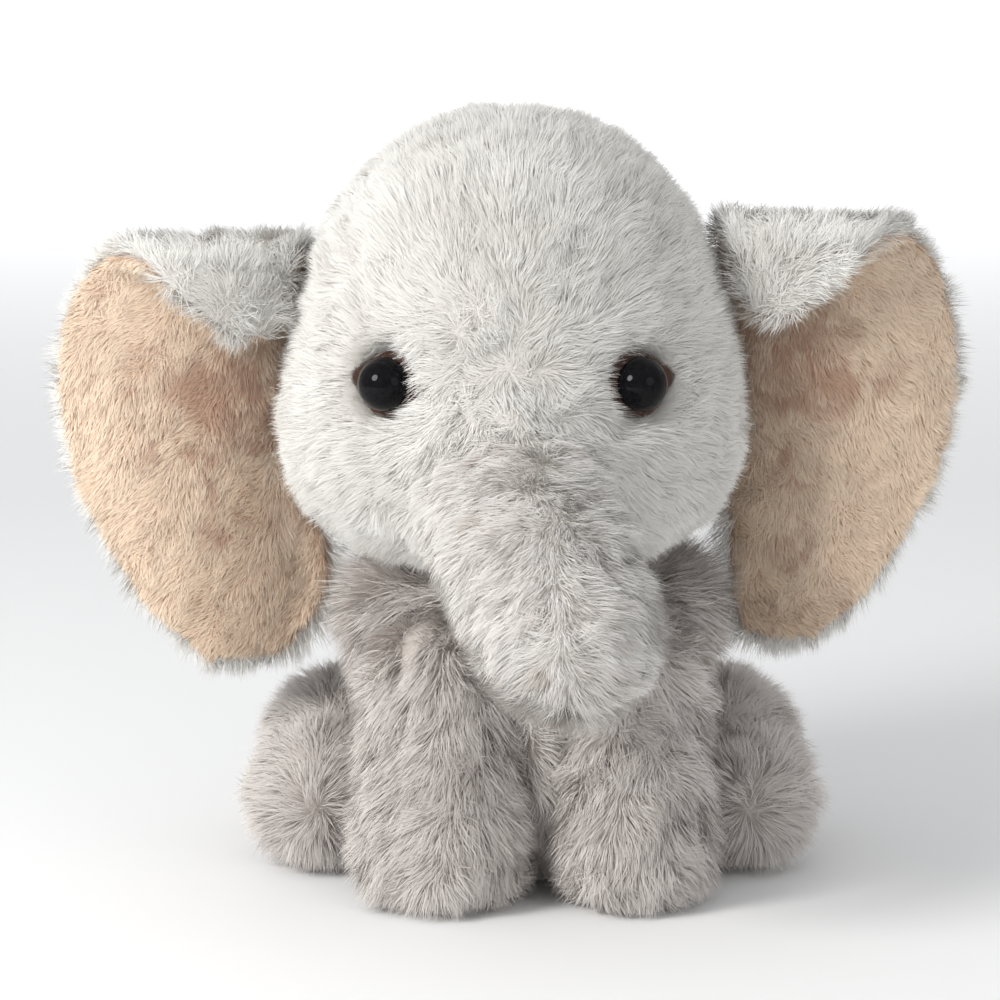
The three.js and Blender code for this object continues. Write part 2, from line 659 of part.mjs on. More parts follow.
// ---------- neck ----------
const collarInside = neckBar(-FAR, FAR, NECK.radius - NECK.wall);
const collar = neckBar(NECK.low, NECK.high, NECK.radius).subtract(collarInside);
const neckFilling = neckBar(NECK.low, NECK.high, NECK.radius - NECK.wall - GAP);
addNode("neck_collar", collar, COLOUR.bodyPlush);
addNode("neck_stuffing", neckFilling, COLOUR.stuffing);

// ---------- tail, closing stitch and label ----------
const TAIL_ROWS = [
  [BODY_X, TAIL.y + 3, TAIL.z, 4],
  [BODY_X, TAIL.y + 8, TAIL.z - 4, 4],
  [BODY_X, TAIL.y + 11.5, TAIL.z - 12, 3.6],
  [BODY_X, TAIL.y + 12.5, TAIL.z - 18, 3.4],
];
addNode("tail", tubeAlong(TAIL_ROWS, 0, 10), COLOUR.bodyPlush);
addNode("tail_tuft", ellipsoid([BODY_X, TAIL_TUFT.y, TAIL_TUFT.z], TAIL_TUFT.radii, 12, 8), COLOUR.bodyPlush);

const torsoBackY = (z) => {
  const upper = TORSO_ROWS.findIndex((row) => row[0] >= z);
  const back = TORSO_ROWS.map((row) => [row[0], row[2] + row[3]]).slice(upper - 1, upper + 1);
  return between(back, z);
};
const stitchPoints = STITCH.heights.map((z) => new THREE.Vector3(BODY_X, torsoBackY(z) + STITCH.stand, z));
const stitchPath = new THREE.CatmullRomCurve3(stitchPoints);
const threadShape = new THREE.Shape();
threadShape.absarc(0, 0, STITCH.radius, 0, 2 * Math.PI, false);
const thread = { steps: 6, bevelEnabled: false, curveSegments: 3, extrudePath: stitchPath };
addNode("closing_stitch", toManifold(new THREE.ExtrudeGeometry(threadShape, thread)), COLOUR.thread);
const labelX = BODY_X + LABEL.x;
addNode("care_label", box([labelX, ...LABEL.low], [labelX + LABEL.thick, ...LABEL.high]), COLOUR.label, 0.8);

export default group;
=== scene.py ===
"""Looks of the sitting plush elephant: sewn plush skins puffed over their filling, with the pile on them."""

import json
import math

import bmesh
import bpy
import numpy as np
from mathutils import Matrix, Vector
from mathutils.bvhtree import BVHTree
from mathutils.kdtree import KDTree


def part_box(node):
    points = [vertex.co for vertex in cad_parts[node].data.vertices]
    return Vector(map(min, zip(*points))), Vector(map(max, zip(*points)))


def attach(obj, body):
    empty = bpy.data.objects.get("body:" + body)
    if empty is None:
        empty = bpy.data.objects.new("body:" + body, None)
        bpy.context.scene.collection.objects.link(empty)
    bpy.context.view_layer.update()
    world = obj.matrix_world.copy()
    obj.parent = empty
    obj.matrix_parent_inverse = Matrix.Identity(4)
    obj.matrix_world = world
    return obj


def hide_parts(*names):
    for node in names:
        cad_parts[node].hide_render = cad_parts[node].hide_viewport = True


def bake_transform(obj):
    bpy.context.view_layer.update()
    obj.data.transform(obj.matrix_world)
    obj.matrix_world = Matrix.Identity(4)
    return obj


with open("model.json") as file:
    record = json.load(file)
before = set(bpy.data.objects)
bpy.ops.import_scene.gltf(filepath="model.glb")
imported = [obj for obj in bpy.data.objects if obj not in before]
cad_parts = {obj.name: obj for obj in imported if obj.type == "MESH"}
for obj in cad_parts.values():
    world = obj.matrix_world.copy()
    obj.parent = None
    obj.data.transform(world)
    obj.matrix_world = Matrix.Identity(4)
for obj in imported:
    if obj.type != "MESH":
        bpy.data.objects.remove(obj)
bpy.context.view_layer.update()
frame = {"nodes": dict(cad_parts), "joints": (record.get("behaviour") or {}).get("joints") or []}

MM = 0.001
scene = bpy.context.scene
NODES = frame["nodes"]
JOINTS = {joint["name"]: joint for joint in frame["joints"]}


def joint_at(name):
    return np.array(JOINTS[name]["pos_m"], float)


# ---------- camera, light and floor ----------
AIM = Vector((-0.0029, 0.012, 0.0913))
CAMERA_FAR = 0.9
CAMERA_UP_DEG = 10
LENS = 135
SENSOR = 36
WORLD_COLOUR = (0.97, 0.98, 1.0, 1)
WORLD_STRENGTH = 0.62
FLOOR_ACROSS = 6.0
FLOOR_NEAR = -4.0
SWEEP_START = 2.0
SWEEP_END = 5.0
SWEEP_RISE = 3.0
SWEEP_STEPS = 12


def add_camera():
    up = math.radians(CAMERA_UP_DEG)
    back = Vector((0, -math.cos(up), math.sin(up)))
    data = bpy.data.cameras.new("camera")
    data.lens = LENS
    data.sensor_width = SENSOR
    data.clip_start = 0.05
    data.clip_end = 20
    camera = bpy.data.objects.new("camera", data)
    scene.collection.objects.link(camera)
    camera.location = AIM + back * CAMERA_FAR
    camera.rotation_mode = "QUATERNION"
    camera.rotation_quaternion = (-back).to_track_quat("-Z", "Y")
    scene.camera = camera


def add_light(name, place, size, power, colour=(1, 1, 1), target=(0, 0, 0.09)):
    data = bpy.data.lights.new(name, "AREA")
    data.shape = "DISK"
    data.size = size
    data.energy = power
    data.color = colour
    light = bpy.data.objects.new(name, data)
    scene.collection.objects.link(light)
    light.location = place
    light.rotation_mode = "QUATERNION"
    light.rotation_quaternion = (Vector(target) - Vector(place)).to_track_quat("-Z", "Y")


def add_stage():
    world = bpy.data.worlds.new("studio")
    world.use_nodes = True
    world.node_tree.nodes["Background"].inputs["Color"].default_value = WORLD_COLOUR
    world.node_tree.nodes["Background"].inputs["Strength"].default_value = WORLD_STRENGTH
    scene.world = world
    add_light("key", (-0.68, -0.56, 0.6), 0.4, 7.8, (1.0, 0.99, 0.97))
    add_light("fill", (1.1, -1.2, 0.6), 1.0, 2.5, (0.98, 1.0, 0.97))
    add_light("backdrop", (0, 2.0, 2.6), 2.0, 80, target=(0, 4.5, 1.2))
    floor_mesh = bpy.data.meshes.new("floor")
    profile = [(FLOOR_NEAR, 0.0), (SWEEP_START, 0.0)]
    for k in range(1, SWEEP_STEPS + 1):
        turn = math.pi / 2 * k / SWEEP_STEPS
        back = SWEEP_START + math.sin(turn) * (SWEEP_END - SWEEP_START)
        profile.append((back, SWEEP_RISE * (1 - math.cos(turn))))
    rows = [((-FLOOR_ACROSS, y, z), (FLOOR_ACROSS, y, z)) for y, z in profile]
    points = [p for row in rows for p in row]
    faces = [(2 * k, 2 * k + 1, 2 * k + 3, 2 * k + 2) for k in range(len(rows) - 1)]
    floor_mesh.from_pydata(points, [], faces)
    floor = bpy.data.objects.new("floor", floor_mesh)
    scene.collection.objects.link(floor)
    material = bpy.data.materials.new("pale_floor")
    material.use_nodes = True
    shader = material.node_tree.nodes["Principled BSDF"]
    shader.inputs["Base Color"].default_value = (0.95, 0.95, 0.95, 1)
    shader.inputs["Roughness"].default_value = 0.9
    floor.data.materials.append(material)
    for polygon in floor.data.polygons:
        polygon.use_smooth = True


add_camera()
add_stage()
scene.view_settings.view_transform = "Standard"

# ---------- materials ----------


def srgb(r, g, b):
    """A display colour from 0 to 255 as the linear colour a shader takes."""
    return tuple(((c / 255 + 0.055) / 1.055) ** 2.4 if c > 10 else c / 255 / 12.92 for c in (r, g, b)) + (1,)


def new_material(name):
    material = bpy.data.materials.new(name)
    material.use_nodes = True
    tree = material.node_tree
    return material, tree, tree.nodes["Principled BSDF"]


def node(tree, kind, **values):
    made = tree.nodes.new(kind)
    for key, value in values.items():
        setattr(made, key, value)
    return made


def ramp(tree, stops):
    made = tree.nodes.new("ShaderNodeValToRGB")
    elements = made.color_ramp.elements
    elements[0].position, elements[0].color = stops[0]
    elements[1].position, elements[1].color = stops[-1]
    for place, colour in stops[1:-1]:
        elements.new(place).color = colour
    return made


FIBRE_MAP = "OFBake"


def pile_material(name, root, middle, tip, warm):
    """Fibres: dark at the root and pale at the tip along V, and each tuft its own shade along U. The darker
    root is painted shade among the fibres, and a piece's shade_of can move its tufts along U to paint shade
    or light.
    """
    material, tree, shader = new_material(name)
    uv = node(tree, "ShaderNodeUVMap", uv_map=FIBRE_MAP)
    split = node(tree, "ShaderNodeSeparateXYZ")
    tree.links.new(uv.outputs["UV"], split.inputs["Vector"])
    along = ramp(tree, [(0.0, root), (0.35, middle), (1.0, tip)])
    tree.links.new(split.outputs["Y"], along.inputs["Fac"])
    shade = ramp(tree, [(0.0, warm), (0.45, (0.93, 0.925, 0.92, 1)), (1.0, (1.06, 1.06, 1.06, 1))])
    tree.links.new(split.outputs["X"], shade.inputs["Fac"])
    mix = node(tree, "ShaderNodeMix", data_type="RGBA", blend_type="MULTIPLY")
    mix.inputs["Factor"].default_value = 1.0
    tree.links.new(along.outputs["Color"], mix.inputs["A"])
    tree.links.new(shade.outputs["Color"], mix.inputs["B"])
    tree.links.new(mix.outputs["Result"], shader.inputs["Base Color"])
    shader.inputs["Roughness"].default_value = 0.62
    shader.inputs["Specular IOR Level"].default_value = 0.25
    shader.inputs["Sheen Weight"].default_value = 0.2
    shader.inputs["Sheen Roughness"].default_value = 0.45
    return material


def backing_material(name, dark, light):
    """The knitted backing between the fibres: fine loops with a mottled shade, in colours darker than the
    pile as painted shade where it shows between the tufts.
    """
    material, tree, shader = new_material(name)
    place = node(tree, "ShaderNodeTexCoord")
    noise = node(tree, "ShaderNodeTexNoise")
    noise.inputs["Scale"].default_value = 260
    noise.inputs["Detail"].default_value = 3
    loops = node(tree, "ShaderNodeTexVoronoi")
    loops.inputs["Scale"].default_value = 900
    for texture in (noise, loops):
        tree.links.new(place.outputs["Object"], texture.inputs["Vector"])
    colours = ramp(tree, [(0.3, dark), (0.7, light)])
    tree.links.new(noise.outputs["Fac"], colours.inputs["Fac"])
    tree.links.new(colours.outputs["Color"], shader.inputs["Base Color"])
    bump = node(tree, "ShaderNodeBump")
    bump.inputs["Strength"].default_value = 0.5
    bump.inputs["Distance"].default_value = 0.0004
    tree.links.new(loops.outputs["Distance"], bump.inputs["Height"])
    tree.links.new(bump.outputs["Normal"], shader.inputs["Normal"])
    shader.inputs["Roughness"].default_value = 0.95
    shader.inputs["Sheen Weight"].default_value = 0.3
    return material


# Each pile's root colour is darker than its tip: painted shade among the fibres.
HEAD_PILE = pile_material(
    "pile_light", srgb(226, 223, 217), srgb(234, 232, 228), srgb(241, 240, 236), (0.88, 0.87, 0.85, 1)
)
# The trunk's warm colour (0.76, 0.71, 0.67) carries the painted shade in the trunk's end dimple and along its
# upper line.
TRUNK_PILE = pile_material(
    "pile_light_trunk", srgb(224, 220, 213), srgb(234, 231, 227), srgb(242, 240, 237), (0.76, 0.71, 0.67, 1)
)
BODY_PILE = pile_material(
    "pile_warm_grey", srgb(206, 197, 192), srgb(221, 214, 209), srgb(234, 229, 225), (0.86, 0.84, 0.83, 1)
)
# The lining's warm colour (0.68, 0.55, 0.51) carries the painted shade in the hollow under the ear's rolled
# edge.
LINING_PILE = pile_material(
    "pile_lining", srgb(230, 200, 176), srgb(240, 216, 192), srgb(250, 235, 214), (0.68, 0.55, 0.51, 1)
)
# The backings are darker than their piles: painted shade where the backing shows between the tufts.
HEAD_BACKING = backing_material("backing_light", srgb(205, 201, 195), srgb(226, 223, 218))
BODY_BACKING = backing_material("backing_warm_grey", srgb(178, 169, 163), srgb(202, 194, 188))
LINING_BACKING = backing_material("backing_lining", srgb(208, 172, 145), srgb(228, 196, 168))

# ---------- sewn skins ----------


class Surface:
    """A skin's shape as arrays: points, triangles and the points' normals."""

    def __init__(self, mesh):
        mesh.calc_loop_triangles()
        self.points = coordinates(mesh)
        self.normals = vertex_normals(mesh)
        corners = np.empty(len(mesh.loop_triangles) * 3, int)
        mesh.loop_triangles.foreach_get("vertices", corners)
        self.triangles = corners.reshape(-1, 3)
        self.tree = BVHTree.FromPolygons(self.points.tolist(), self.triangles.tolist())


FLOOR_GAP = 0.4 * MM
CREASE_ROUNDS = 70
SAME_POINT = 0.01 * MM
CLOTH_FRAMES = 16
PRESSURE = 4
SKIN_VOXEL = 3.0 * MM
TAIL_VOXEL = 1.5 * MM


def joined(name, nodes):
    """A new mesh holding copies of the CAD nodes' surfaces."""
    work = bmesh.new()
    for each in nodes:
        work.from_mesh(NODES[each].data)
    bmesh.ops.remove_doubles(work, verts=work.verts, dist=SAME_POINT)
    mesh = bpy.data.meshes.new(name)
    work.to_mesh(mesh)
    work.free()
    return mesh


def applied(obj):
    """Puts an object's evaluated mesh in place of its own."""
    graph = bpy.context.evaluated_depsgraph_get()
    mesh = bpy.data.meshes.new_from_object(obj.evaluated_get(graph))
    old = obj.data
    obj.modifiers.clear()
    obj.data = mesh
    bpy.data.meshes.remove(old)
    return obj


def keep_largest(mesh):
    """Leaves only the largest connected surface of a mesh."""
    work = bmesh.new()
    work.from_mesh(mesh)
    work.verts.ensure_lookup_table()
    seen = np.zeros(len(work.verts), bool)
    groups = []
    for start in work.verts:
        if seen[start.index]:
            continue
        group, stack = [], [start]
        seen[start.index] = True
        while stack:
            vert = stack.pop()
            group.append(vert)
            for edge in vert.link_edges:
                other = edge.other_vert(vert)
                if not seen[other.index]:
                    seen[other.index] = True
                    stack.append(other)
        groups.append(group)
    groups.sort(key=len)
    for group in groups[:-1]:
        bmesh.ops.delete(work, geom=group, context="VERTS")
    work.to_mesh(mesh)
    work.free()


def coordinates(mesh):
    flat = np.empty(len(mesh.vertices) * 3)
    mesh.vertices.foreach_get("co", flat)
    return flat.reshape(-1, 3)


def set_coordinates(mesh, points):
    mesh.vertices.foreach_set("co", points.ravel())
    mesh.update()


def vertex_normals(mesh):
    flat = np.empty(len(mesh.vertices) * 3)
    mesh.vertices.foreach_get("normal", flat)
    return flat.reshape(-1, 3)


def smoothed(mesh, rounds, share=0.5):
    """Evens out a mesh's points along its edges."""
    points = coordinates(mesh)
    edges = np.empty(len(mesh.edges) * 2, int)
    mesh.edges.foreach_get("vertices", edges)
    edges = edges.reshape(-1, 2)
    degree = np.bincount(edges.ravel(), minlength=len(points))[:, None]
    for _ in range(rounds):
        total = np.zeros_like(points)
        np.add.at(total, edges[:, 0], points[edges[:, 1]])
        np.add.at(total, edges[:, 1], points[edges[:, 0]])
        points += (total / np.maximum(degree, 1) - points) * share
    set_coordinates(mesh, points)


def puffed(obj, most):
    """Blows the skin out against its own cloth, moving no point further than most."""
    start = coordinates(obj.data)
    cloth = obj.modifiers.new("cloth", "CLOTH")
    cloth.settings.quality = 4
    cloth.settings.mass = 0.3
    cloth.settings.use_pressure = True
    cloth.settings.uniform_pressure_force = PRESSURE
    cloth.settings.effector_weights.gravity = 0
    cloth.settings.tension_stiffness = 12
    cloth.settings.compression_stiffness = 12
    cloth.settings.bending_stiffness = 0.4
    cloth.collision_settings.use_collision = False
    cloth.point_cache.frame_start = 1
    cloth.point_cache.frame_end = CLOTH_FRAMES
    for number in range(1, CLOTH_FRAMES + 1):
        scene.frame_set(number)
    applied(obj)
    scene.frame_set(1)
    moved = coordinates(obj.data) - start
    far = np.linalg.norm(moved, axis=1, keepdims=True)
    moved *= np.minimum(1, most / np.maximum(far, 1e-9))
    set_coordinates(obj.data, start + moved)


def rolled_skin(name, node_name):
    """A thin sewn layer: the node's own shape in finer faces, with its edges rounded."""
    obj = bpy.data.objects.new(name, joined(name, [node_name]))
    scene.collection.objects.link(obj)
    finer = obj.modifiers.new("finer", "SUBSURF")
    finer.subdivision_type = "SIMPLE"
    finer.levels = finer.render_levels = 2
    applied(obj)
    smoothed(obj.data, 5)
    for polygon in obj.data.polygons:
        polygon.use_smooth = True
    return obj


def sewn_skin(name, nodes, voxel, inset, rounds=6, puff=1.2 * MM, creases=()):
    """One padded skin over some nodes' panels and filling, drawn in by part of the pile and puffed out."""
    obj = bpy.data.objects.new(name, joined(name, nodes))
    scene.collection.objects.link(obj)
    remesh = obj.modifiers.new("remesh", "REMESH")
    remesh.mode = "VOXEL"
    remesh.voxel_size = voxel
    applied(obj)
    keep_largest(obj.data)
    smoothed(obj.data, rounds)
    for centre, reach in creases:
        far = np.linalg.norm(coordinates(obj.data) - centre, axis=1, keepdims=True)
        smoothed(obj.data, CREASE_ROUNDS, 0.5 * np.exp(-((far / reach) ** 2)))
    normals = vertex_normals(obj.data)
    points = coordinates(obj.data)
    depth = inset(points)[:, None] if callable(inset) else inset
    set_coordinates(obj.data, points - normals * depth)
    if puff:
        puffed(obj, puff)
    smooth = obj.modifiers.new("smooth", "SUBSURF")
    smooth.levels = smooth.render_levels = 1
    applied(obj)
    points = coordinates(obj.data)
    points[:, 2] = np.maximum(points[:, 2], FLOOR_GAP)
    set_coordinates(obj.data, points)
    for polygon in obj.data.polygons:
        polygon.use_smooth = True
    return obj


# ---------- pile ----------


def unit(vectors):
    return vectors / np.maximum(np.linalg.norm(vectors, axis=-1, keepdims=True), 1e-12)


def flat_on(vectors, normals):
    """The part of each vector that lies along the surface."""
    return vectors - normals * np.sum(vectors * normals, axis=1, keepdims=True)


def wave_noise(points, size, seed):
    """Smooth noise from -1 to 1, from a few waves in seeded directions."""
    draw = np.random.default_rng(seed)
    total = np.zeros(len(points))
    for _ in range(7):
        direction = unit(draw.normal(size=3)) * 2 * math.pi / size * draw.uniform(0.6, 1.5)
        total += np.sin(points @ direction + draw.uniform(0, 2 * math.pi))
    return np.clip(total / 3.2, -1, 1)


def wave_vectors(points, size, seed):
    """Three smooth noises at each point, as a vector that changes slowly along a surface."""
    return np.stack([wave_noise(points, size, seed + k) for k in range(3)], axis=1)


def closeness(points, centre, reach):
    """1 at a centre, falling smoothly to 0 past its reach."""
    return np.exp(-((np.linalg.norm(points - centre, axis=1) / reach) ** 2))


def scatter(surface, per_mm2, draw):
    """Roots spread evenly over a surface, with the surface's normal at each."""
    corners = surface.points[surface.triangles]
    cross = np.cross(corners[:, 1] - corners[:, 0], corners[:, 2] - corners[:, 0])
    area = np.linalg.norm(cross, axis=1) / 2
    count = int(area.sum() * 1e6 * per_mm2)
    pick = draw.choice(len(area), size=count, p=area / area.sum())
    a, b = draw.random(count), draw.random(count)
    over = a + b > 1
    a[over], b[over] = 1 - a[over], 1 - b[over]
    share = np.stack([1 - a - b, a, b], axis=1)[:, :, None]
    roots = (corners[pick] * share).sum(axis=1)
    normals = unit((surface.normals[surface.triangles[pick]] * share).sum(axis=1))
    return roots, normals


def covered(roots, normals, surfaces):
    """Whether another part lies over each root, so that no fibre shows there."""
    hidden = np.zeros(len(roots), bool)
    for surface in surfaces:
        low, high = surface.points.min(0) - COVER_PROBE, surface.points.max(0) + COVER_PROBE
        near = np.flatnonzero(~hidden & np.all((roots > low) & (roots < high), axis=1))
        for k in near:
            root, way = Vector(roots[k]), Vector(normals[k])
            probe = root + way * COVER_PROBE
            hit, normal, _, _ = surface.tree.find_nearest(probe)
            inside = (probe - hit).dot(normal) < 0
            hidden[k] = inside or surface.tree.ray_cast(root, way, COVER_REACH)[0] is not None
    return hidden


COVER_REACH = 1.0 * MM
COVER_PROBE = 2.6 * MM
SWIRL_SEED = 500
SWIRL_SIZE = 11 * MM
LENGTH_SIZE = 12 * MM
LIFT_SIZE = 7 * MM
SHADE_SIZE = 22 * MM
STEPS = np.array([0.0, 0.5, 1.0])
PAIRS = len(STEPS) - 1
CORNERS = 2 * PAIRS + 1
TAPER = np.array([0.85, 1.0])


def strand_lines(roots, normals, comb, length, lift, bend):
    """Each fibre's line: it leaves the cloth at its lift and leans over further along its length."""
    start = unit(normals * np.sin(lift)[:, None] + comb * np.cos(lift)[:, None])
    end = unit(normals * np.sin(lift - bend)[:, None] + comb * np.cos(lift - bend)[:, None])
    t = STEPS[None, :, None]
    reach = length[:, None, None]
    return roots[:, None, :] + reach * (start[:, None, :] * t + (end - start)[:, None, :] * t * t * 0.5)


def grow(name, surface, body, material, seed, per_mm2, length, width, comb_of, lift_deg, bend_deg,
         clump_mm, clump, scruff=0.16, length_of=None, lift_of=None, keep=None, hidden_by=(), wisps=0.04,
         shade_of=None, facing=None):
    """Grows one piece of pile on a surface.

    comb_of gives the way the fibres lean, length_of and shade_of multiply and shift their length and shade,
    lift_of adds to how far they stand, keep and hidden_by leave roots out, and facing turns the shading.
    """
    draw = np.random.default_rng(seed)
    roots, normals = scatter(surface, per_mm2, draw)
    if keep is not None:
        kept = keep(roots, normals)
        roots, normals = roots[kept], normals[kept]
    if hidden_by:
        shown = ~covered(roots, normals, hidden_by)
        roots, normals = roots[shown], normals[shown]
    count = len(roots)
    comb = comb_of(roots, normals)
    swirl = wave_vectors(roots, SWIRL_SIZE, SWIRL_SEED)
    comb = unit(flat_on(comb + swirl * scruff * 1.8 + draw.normal(size=(count, 3)) * scruff, normals))
    reach = length * (1 + 0.13 * wave_noise(roots, LENGTH_SIZE, SWIRL_SEED + 5))
    reach = reach * draw.uniform(0.7, 1.12, count)
    if length_of is not None:
        reach = reach * length_of(roots, normals)
    long_ones = draw.random(count) < wisps
    reach[long_ones] *= draw.uniform(1.05, 1.25, long_ones.sum())
    lift_deg = lift_deg + (0 if lift_of is None else lift_of(roots, normals))
    lift_deg = lift_deg + 13 * wave_noise(roots, LIFT_SIZE, SWIRL_SEED + 6)
    lift = np.radians(lift_deg + draw.normal(size=count) * 9)
    bend = np.radians(bend_deg + draw.normal(size=count) * 8)
    lines = strand_lines(roots, normals, comb, reach, lift, bend)

    # Fibres near a tuft's centre lean in to its line, more so towards their tips.
    spacing = clump_mm * MM
    centres = draw.permutation(count)[: max(1, int(count / (per_mm2 * clump_mm**2 * 1.2)))]
    tree = KDTree(len(centres))
    for number, k in enumerate(centres):
        tree.insert(roots[k], number)
    tree.balance()
    nearest = np.array([tree.find(root)[1] for root in roots])
    guide = lines[centres[nearest]]
    tightness = clump * draw.uniform(0.55, 1.0, len(centres))[nearest] * draw.uniform(0.7, 1.0, count)
    far = np.linalg.norm(roots - roots[centres[nearest]], axis=1)
    tightness *= np.clip(1.6 - far / spacing, 0, 1)
    pull = (tightness[:, None] * STEPS[None, :] ** 1.25)[:, :, None]
    lines = lines * (1 - pull) + guide * pull
    lowest = FLOOR_GAP + 0.5 * MM * draw.random(count)[:, None] * (1 - STEPS[None, :])
    lines[:, :, 2] = np.maximum(lines[:, :, 2], lowest)

    shade = 0.5 + 0.2 * wave_noise(roots, SHADE_SIZE, SWIRL_SEED + 8)
    shade = shade + 0.13 * draw.normal(size=len(centres))[nearest]
    if shade_of is not None:
        shade = shade + shade_of(roots)
    shade = np.clip(shade + 0.1 * draw.normal(size=count), 0.02, 0.98)
    widths = width * draw.uniform(0.75, 1.25, count)
    if facing is not None:
        normals = unit(normals + facing)
    ribbons(name, lines, normals, widths, shade, material, body, draw)


def ribbons(name, lines, normals, width, shade, material, body, draw):
    """Fibres as narrow tapering ribbons, each turned mostly to face outwards and ending in a point."""
    count = len(lines)
    along = unit(lines[:, -1] - lines[:, 0])
    side = unit(np.cross(along, normals) + draw.normal(size=(count, 3)) * 0.35)
    side = unit(flat_on(side, along))
    side *= np.where(np.sum(np.cross(side, along) * normals, axis=1, keepdims=True) < 0, -1, 1)
    half = width[:, None, None] / 2 * TAPER[None, :, None]
    left = lines[:, :PAIRS] - side[:, None, :] * half
    right = lines[:, :PAIRS] + side[:, None, :] * half
    both = np.stack([left, right], axis=2).reshape(count, 2 * PAIRS, 3)
    points = np.concatenate([both, lines[:, PAIRS:]], axis=1).reshape(-1, 3)
    faces = [[2 * k, 2 * k + 1, 2 * k + 3, 2 * k + 2] for k in range(PAIRS - 1)]
    faces.append([2 * PAIRS - 2, 2 * PAIRS - 1, 2 * PAIRS])
    order = np.concatenate(faces)
    firsts = np.cumsum([0] + [len(face) for face in faces[:-1]])
    loops = (np.arange(count)[:, None] * CORNERS + order[None, :]).ravel()
    starts = (np.arange(count)[:, None] * len(order) + firsts[None, :]).ravel()
    mesh = bpy.data.meshes.new(name)
    mesh.vertices.add(len(points))
    mesh.vertices.foreach_set("co", points.ravel())
    mesh.loops.add(len(loops))
    mesh.loops.foreach_set("vertex_index", loops)
    mesh.polygons.add(len(starts))
    mesh.polygons.foreach_set("loop_start", starts)
    mesh.polygons.foreach_set("use_smooth", np.ones(len(starts), bool))
    heights = np.clip(np.append(np.repeat(STEPS[:-1], 2), STEPS[-1]), 0.02, 0.98)
    uv_points = np.stack([np.repeat(shade, CORNERS), np.tile(heights, count)], axis=1)
    layer = mesh.uv_layers.new(name=FIBRE_MAP)
    layer.data.foreach_set("uv", uv_points[loops].ravel())
    mesh.update(calc_edges=True)
    soft = unit(normals * 0.7 + unit(np.cross(side, along)) * 0.4)
    mesh.normals_split_custom_set_from_vertices(np.repeat(soft, CORNERS, axis=0).tolist())
    mesh.materials.append(material)
    obj = bpy.data.objects.new(name, mesh)
    scene.collection.objects.link(obj)
    if isinstance(body, str):
        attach(obj, body)
    else:
        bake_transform(obj)


# ---------- skins of every part ----------
HEAD_INSET = 1.4 * MM
TRUNK_INSET = 0.7 * MM
TORSO_INSET = 0.6 * MM
LEG_INSET = 1.6 * MM
TAIL_INSET = 0.8 * MM
trunk_root = joint_at("trunk_lift")
TRUNK_WAY = unit(np.array([0.08, -0.95, -0.3]))
TRUNK_START = 14 * MM
TRUNK_END = 32 * MM
TRUNK_CREASE = trunk_root + np.array([0, -14 * MM, 19 * MM])
SIDES = ["left", "right"]
LEGS = ["front_leg_left", "front_leg_right", "hind_leg_left", "hind_leg_right"]


def past_trunk_root(points):
    return (points - trunk_root) @ TRUNK_WAY


def on_trunk(points):
    return past_trunk_root(points) > TRUNK_START


def head_inset(points):
    share = np.clip(past_trunk_root(points) / TRUNK_END, 0, 1)
    return HEAD_INSET + (TRUNK_INSET - HEAD_INSET) * share


head_skin = sewn_skin(
    "head_skin",
    ["head_left_panel", "head_right_panel", "head_back_panel", "head_stuffing", "trunk_upper_panel",
     "trunk_under_panel", "trunk_stuffing", "neck_stuffing"],
    SKIN_VOXEL,
    head_inset,
    creases=[(TRUNK_CREASE, 18 * MM)],
)
torso_skin = sewn_skin(
    "torso_skin",
    ["belly_panel", "back_left_panel", "back_right_panel", "torso_stuffing", "pellet_bag", "neck_stuffing"],
    SKIN_VOXEL,
    TORSO_INSET,
)
leg_skins = {}
for leg in LEGS:
    leg_nodes = [f"{leg}_panel", f"{leg}_sole", f"{leg}_stuffing"]
    leg_skins[leg] = sewn_skin(f"{leg}_skin", leg_nodes, SKIN_VOXEL, LEG_INSET, rounds=5)
tail_skin = sewn_skin("tail_skin", ["tail", "tail_tuft"], TAIL_VOXEL, TAIL_INSET, rounds=3, puff=0)
ear_outer = {side: rolled_skin(f"ear_outer_{side}_skin", f"ear_outer_{side}") for side in SIDES}
ear_lining = {side: rolled_skin(f"ear_lining_{side}_skin", f"ear_lining_{side}") for side in SIDES}

# ---------- where the pile lies ----------
HEAD_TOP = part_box("head_left_panel")[1][2]
HEAD_MIDDLE_Y = sum(corner[1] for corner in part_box("head_stuffing")) / 2


def middle_of(name):
    low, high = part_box(name)
    return (np.array(low) + np.array(high)) / 2


TRUNK_FRONT_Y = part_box("trunk_stuffing")[0][1]
TRUNK_DIMPLE = np.array([6.5 * MM, TRUNK_FRONT_Y - 2 * MM, 70 * MM])
EYES = {side: middle_of(f"eye_felt_{side}") for side in SIDES}
BRIDGE = (EYES["left"] + EYES["right"]) / 2 + np.array([0, -10 * MM, 3 * MM])


def eye_distance(points):
    near = np.full(len(points), 1.0)
    away = np.zeros_like(points)
    for centre in EYES.values():
        gap = points - centre
        far = np.linalg.norm(gap, axis=1)
        closer = far < near
        near[closer] = far[closer]
        away[closer] = gap[closer]
    return near, away


def outer_side_of_eye(away, points):
    """From 0 on the nose's side of the nearest eye to 1 on its outer side."""
    return np.clip(away[:, 0] * np.sign(points[:, 0]) / (5 * MM), -1, 1) * 0.5 + 0.5


TUFT_SIZE = 9 * MM


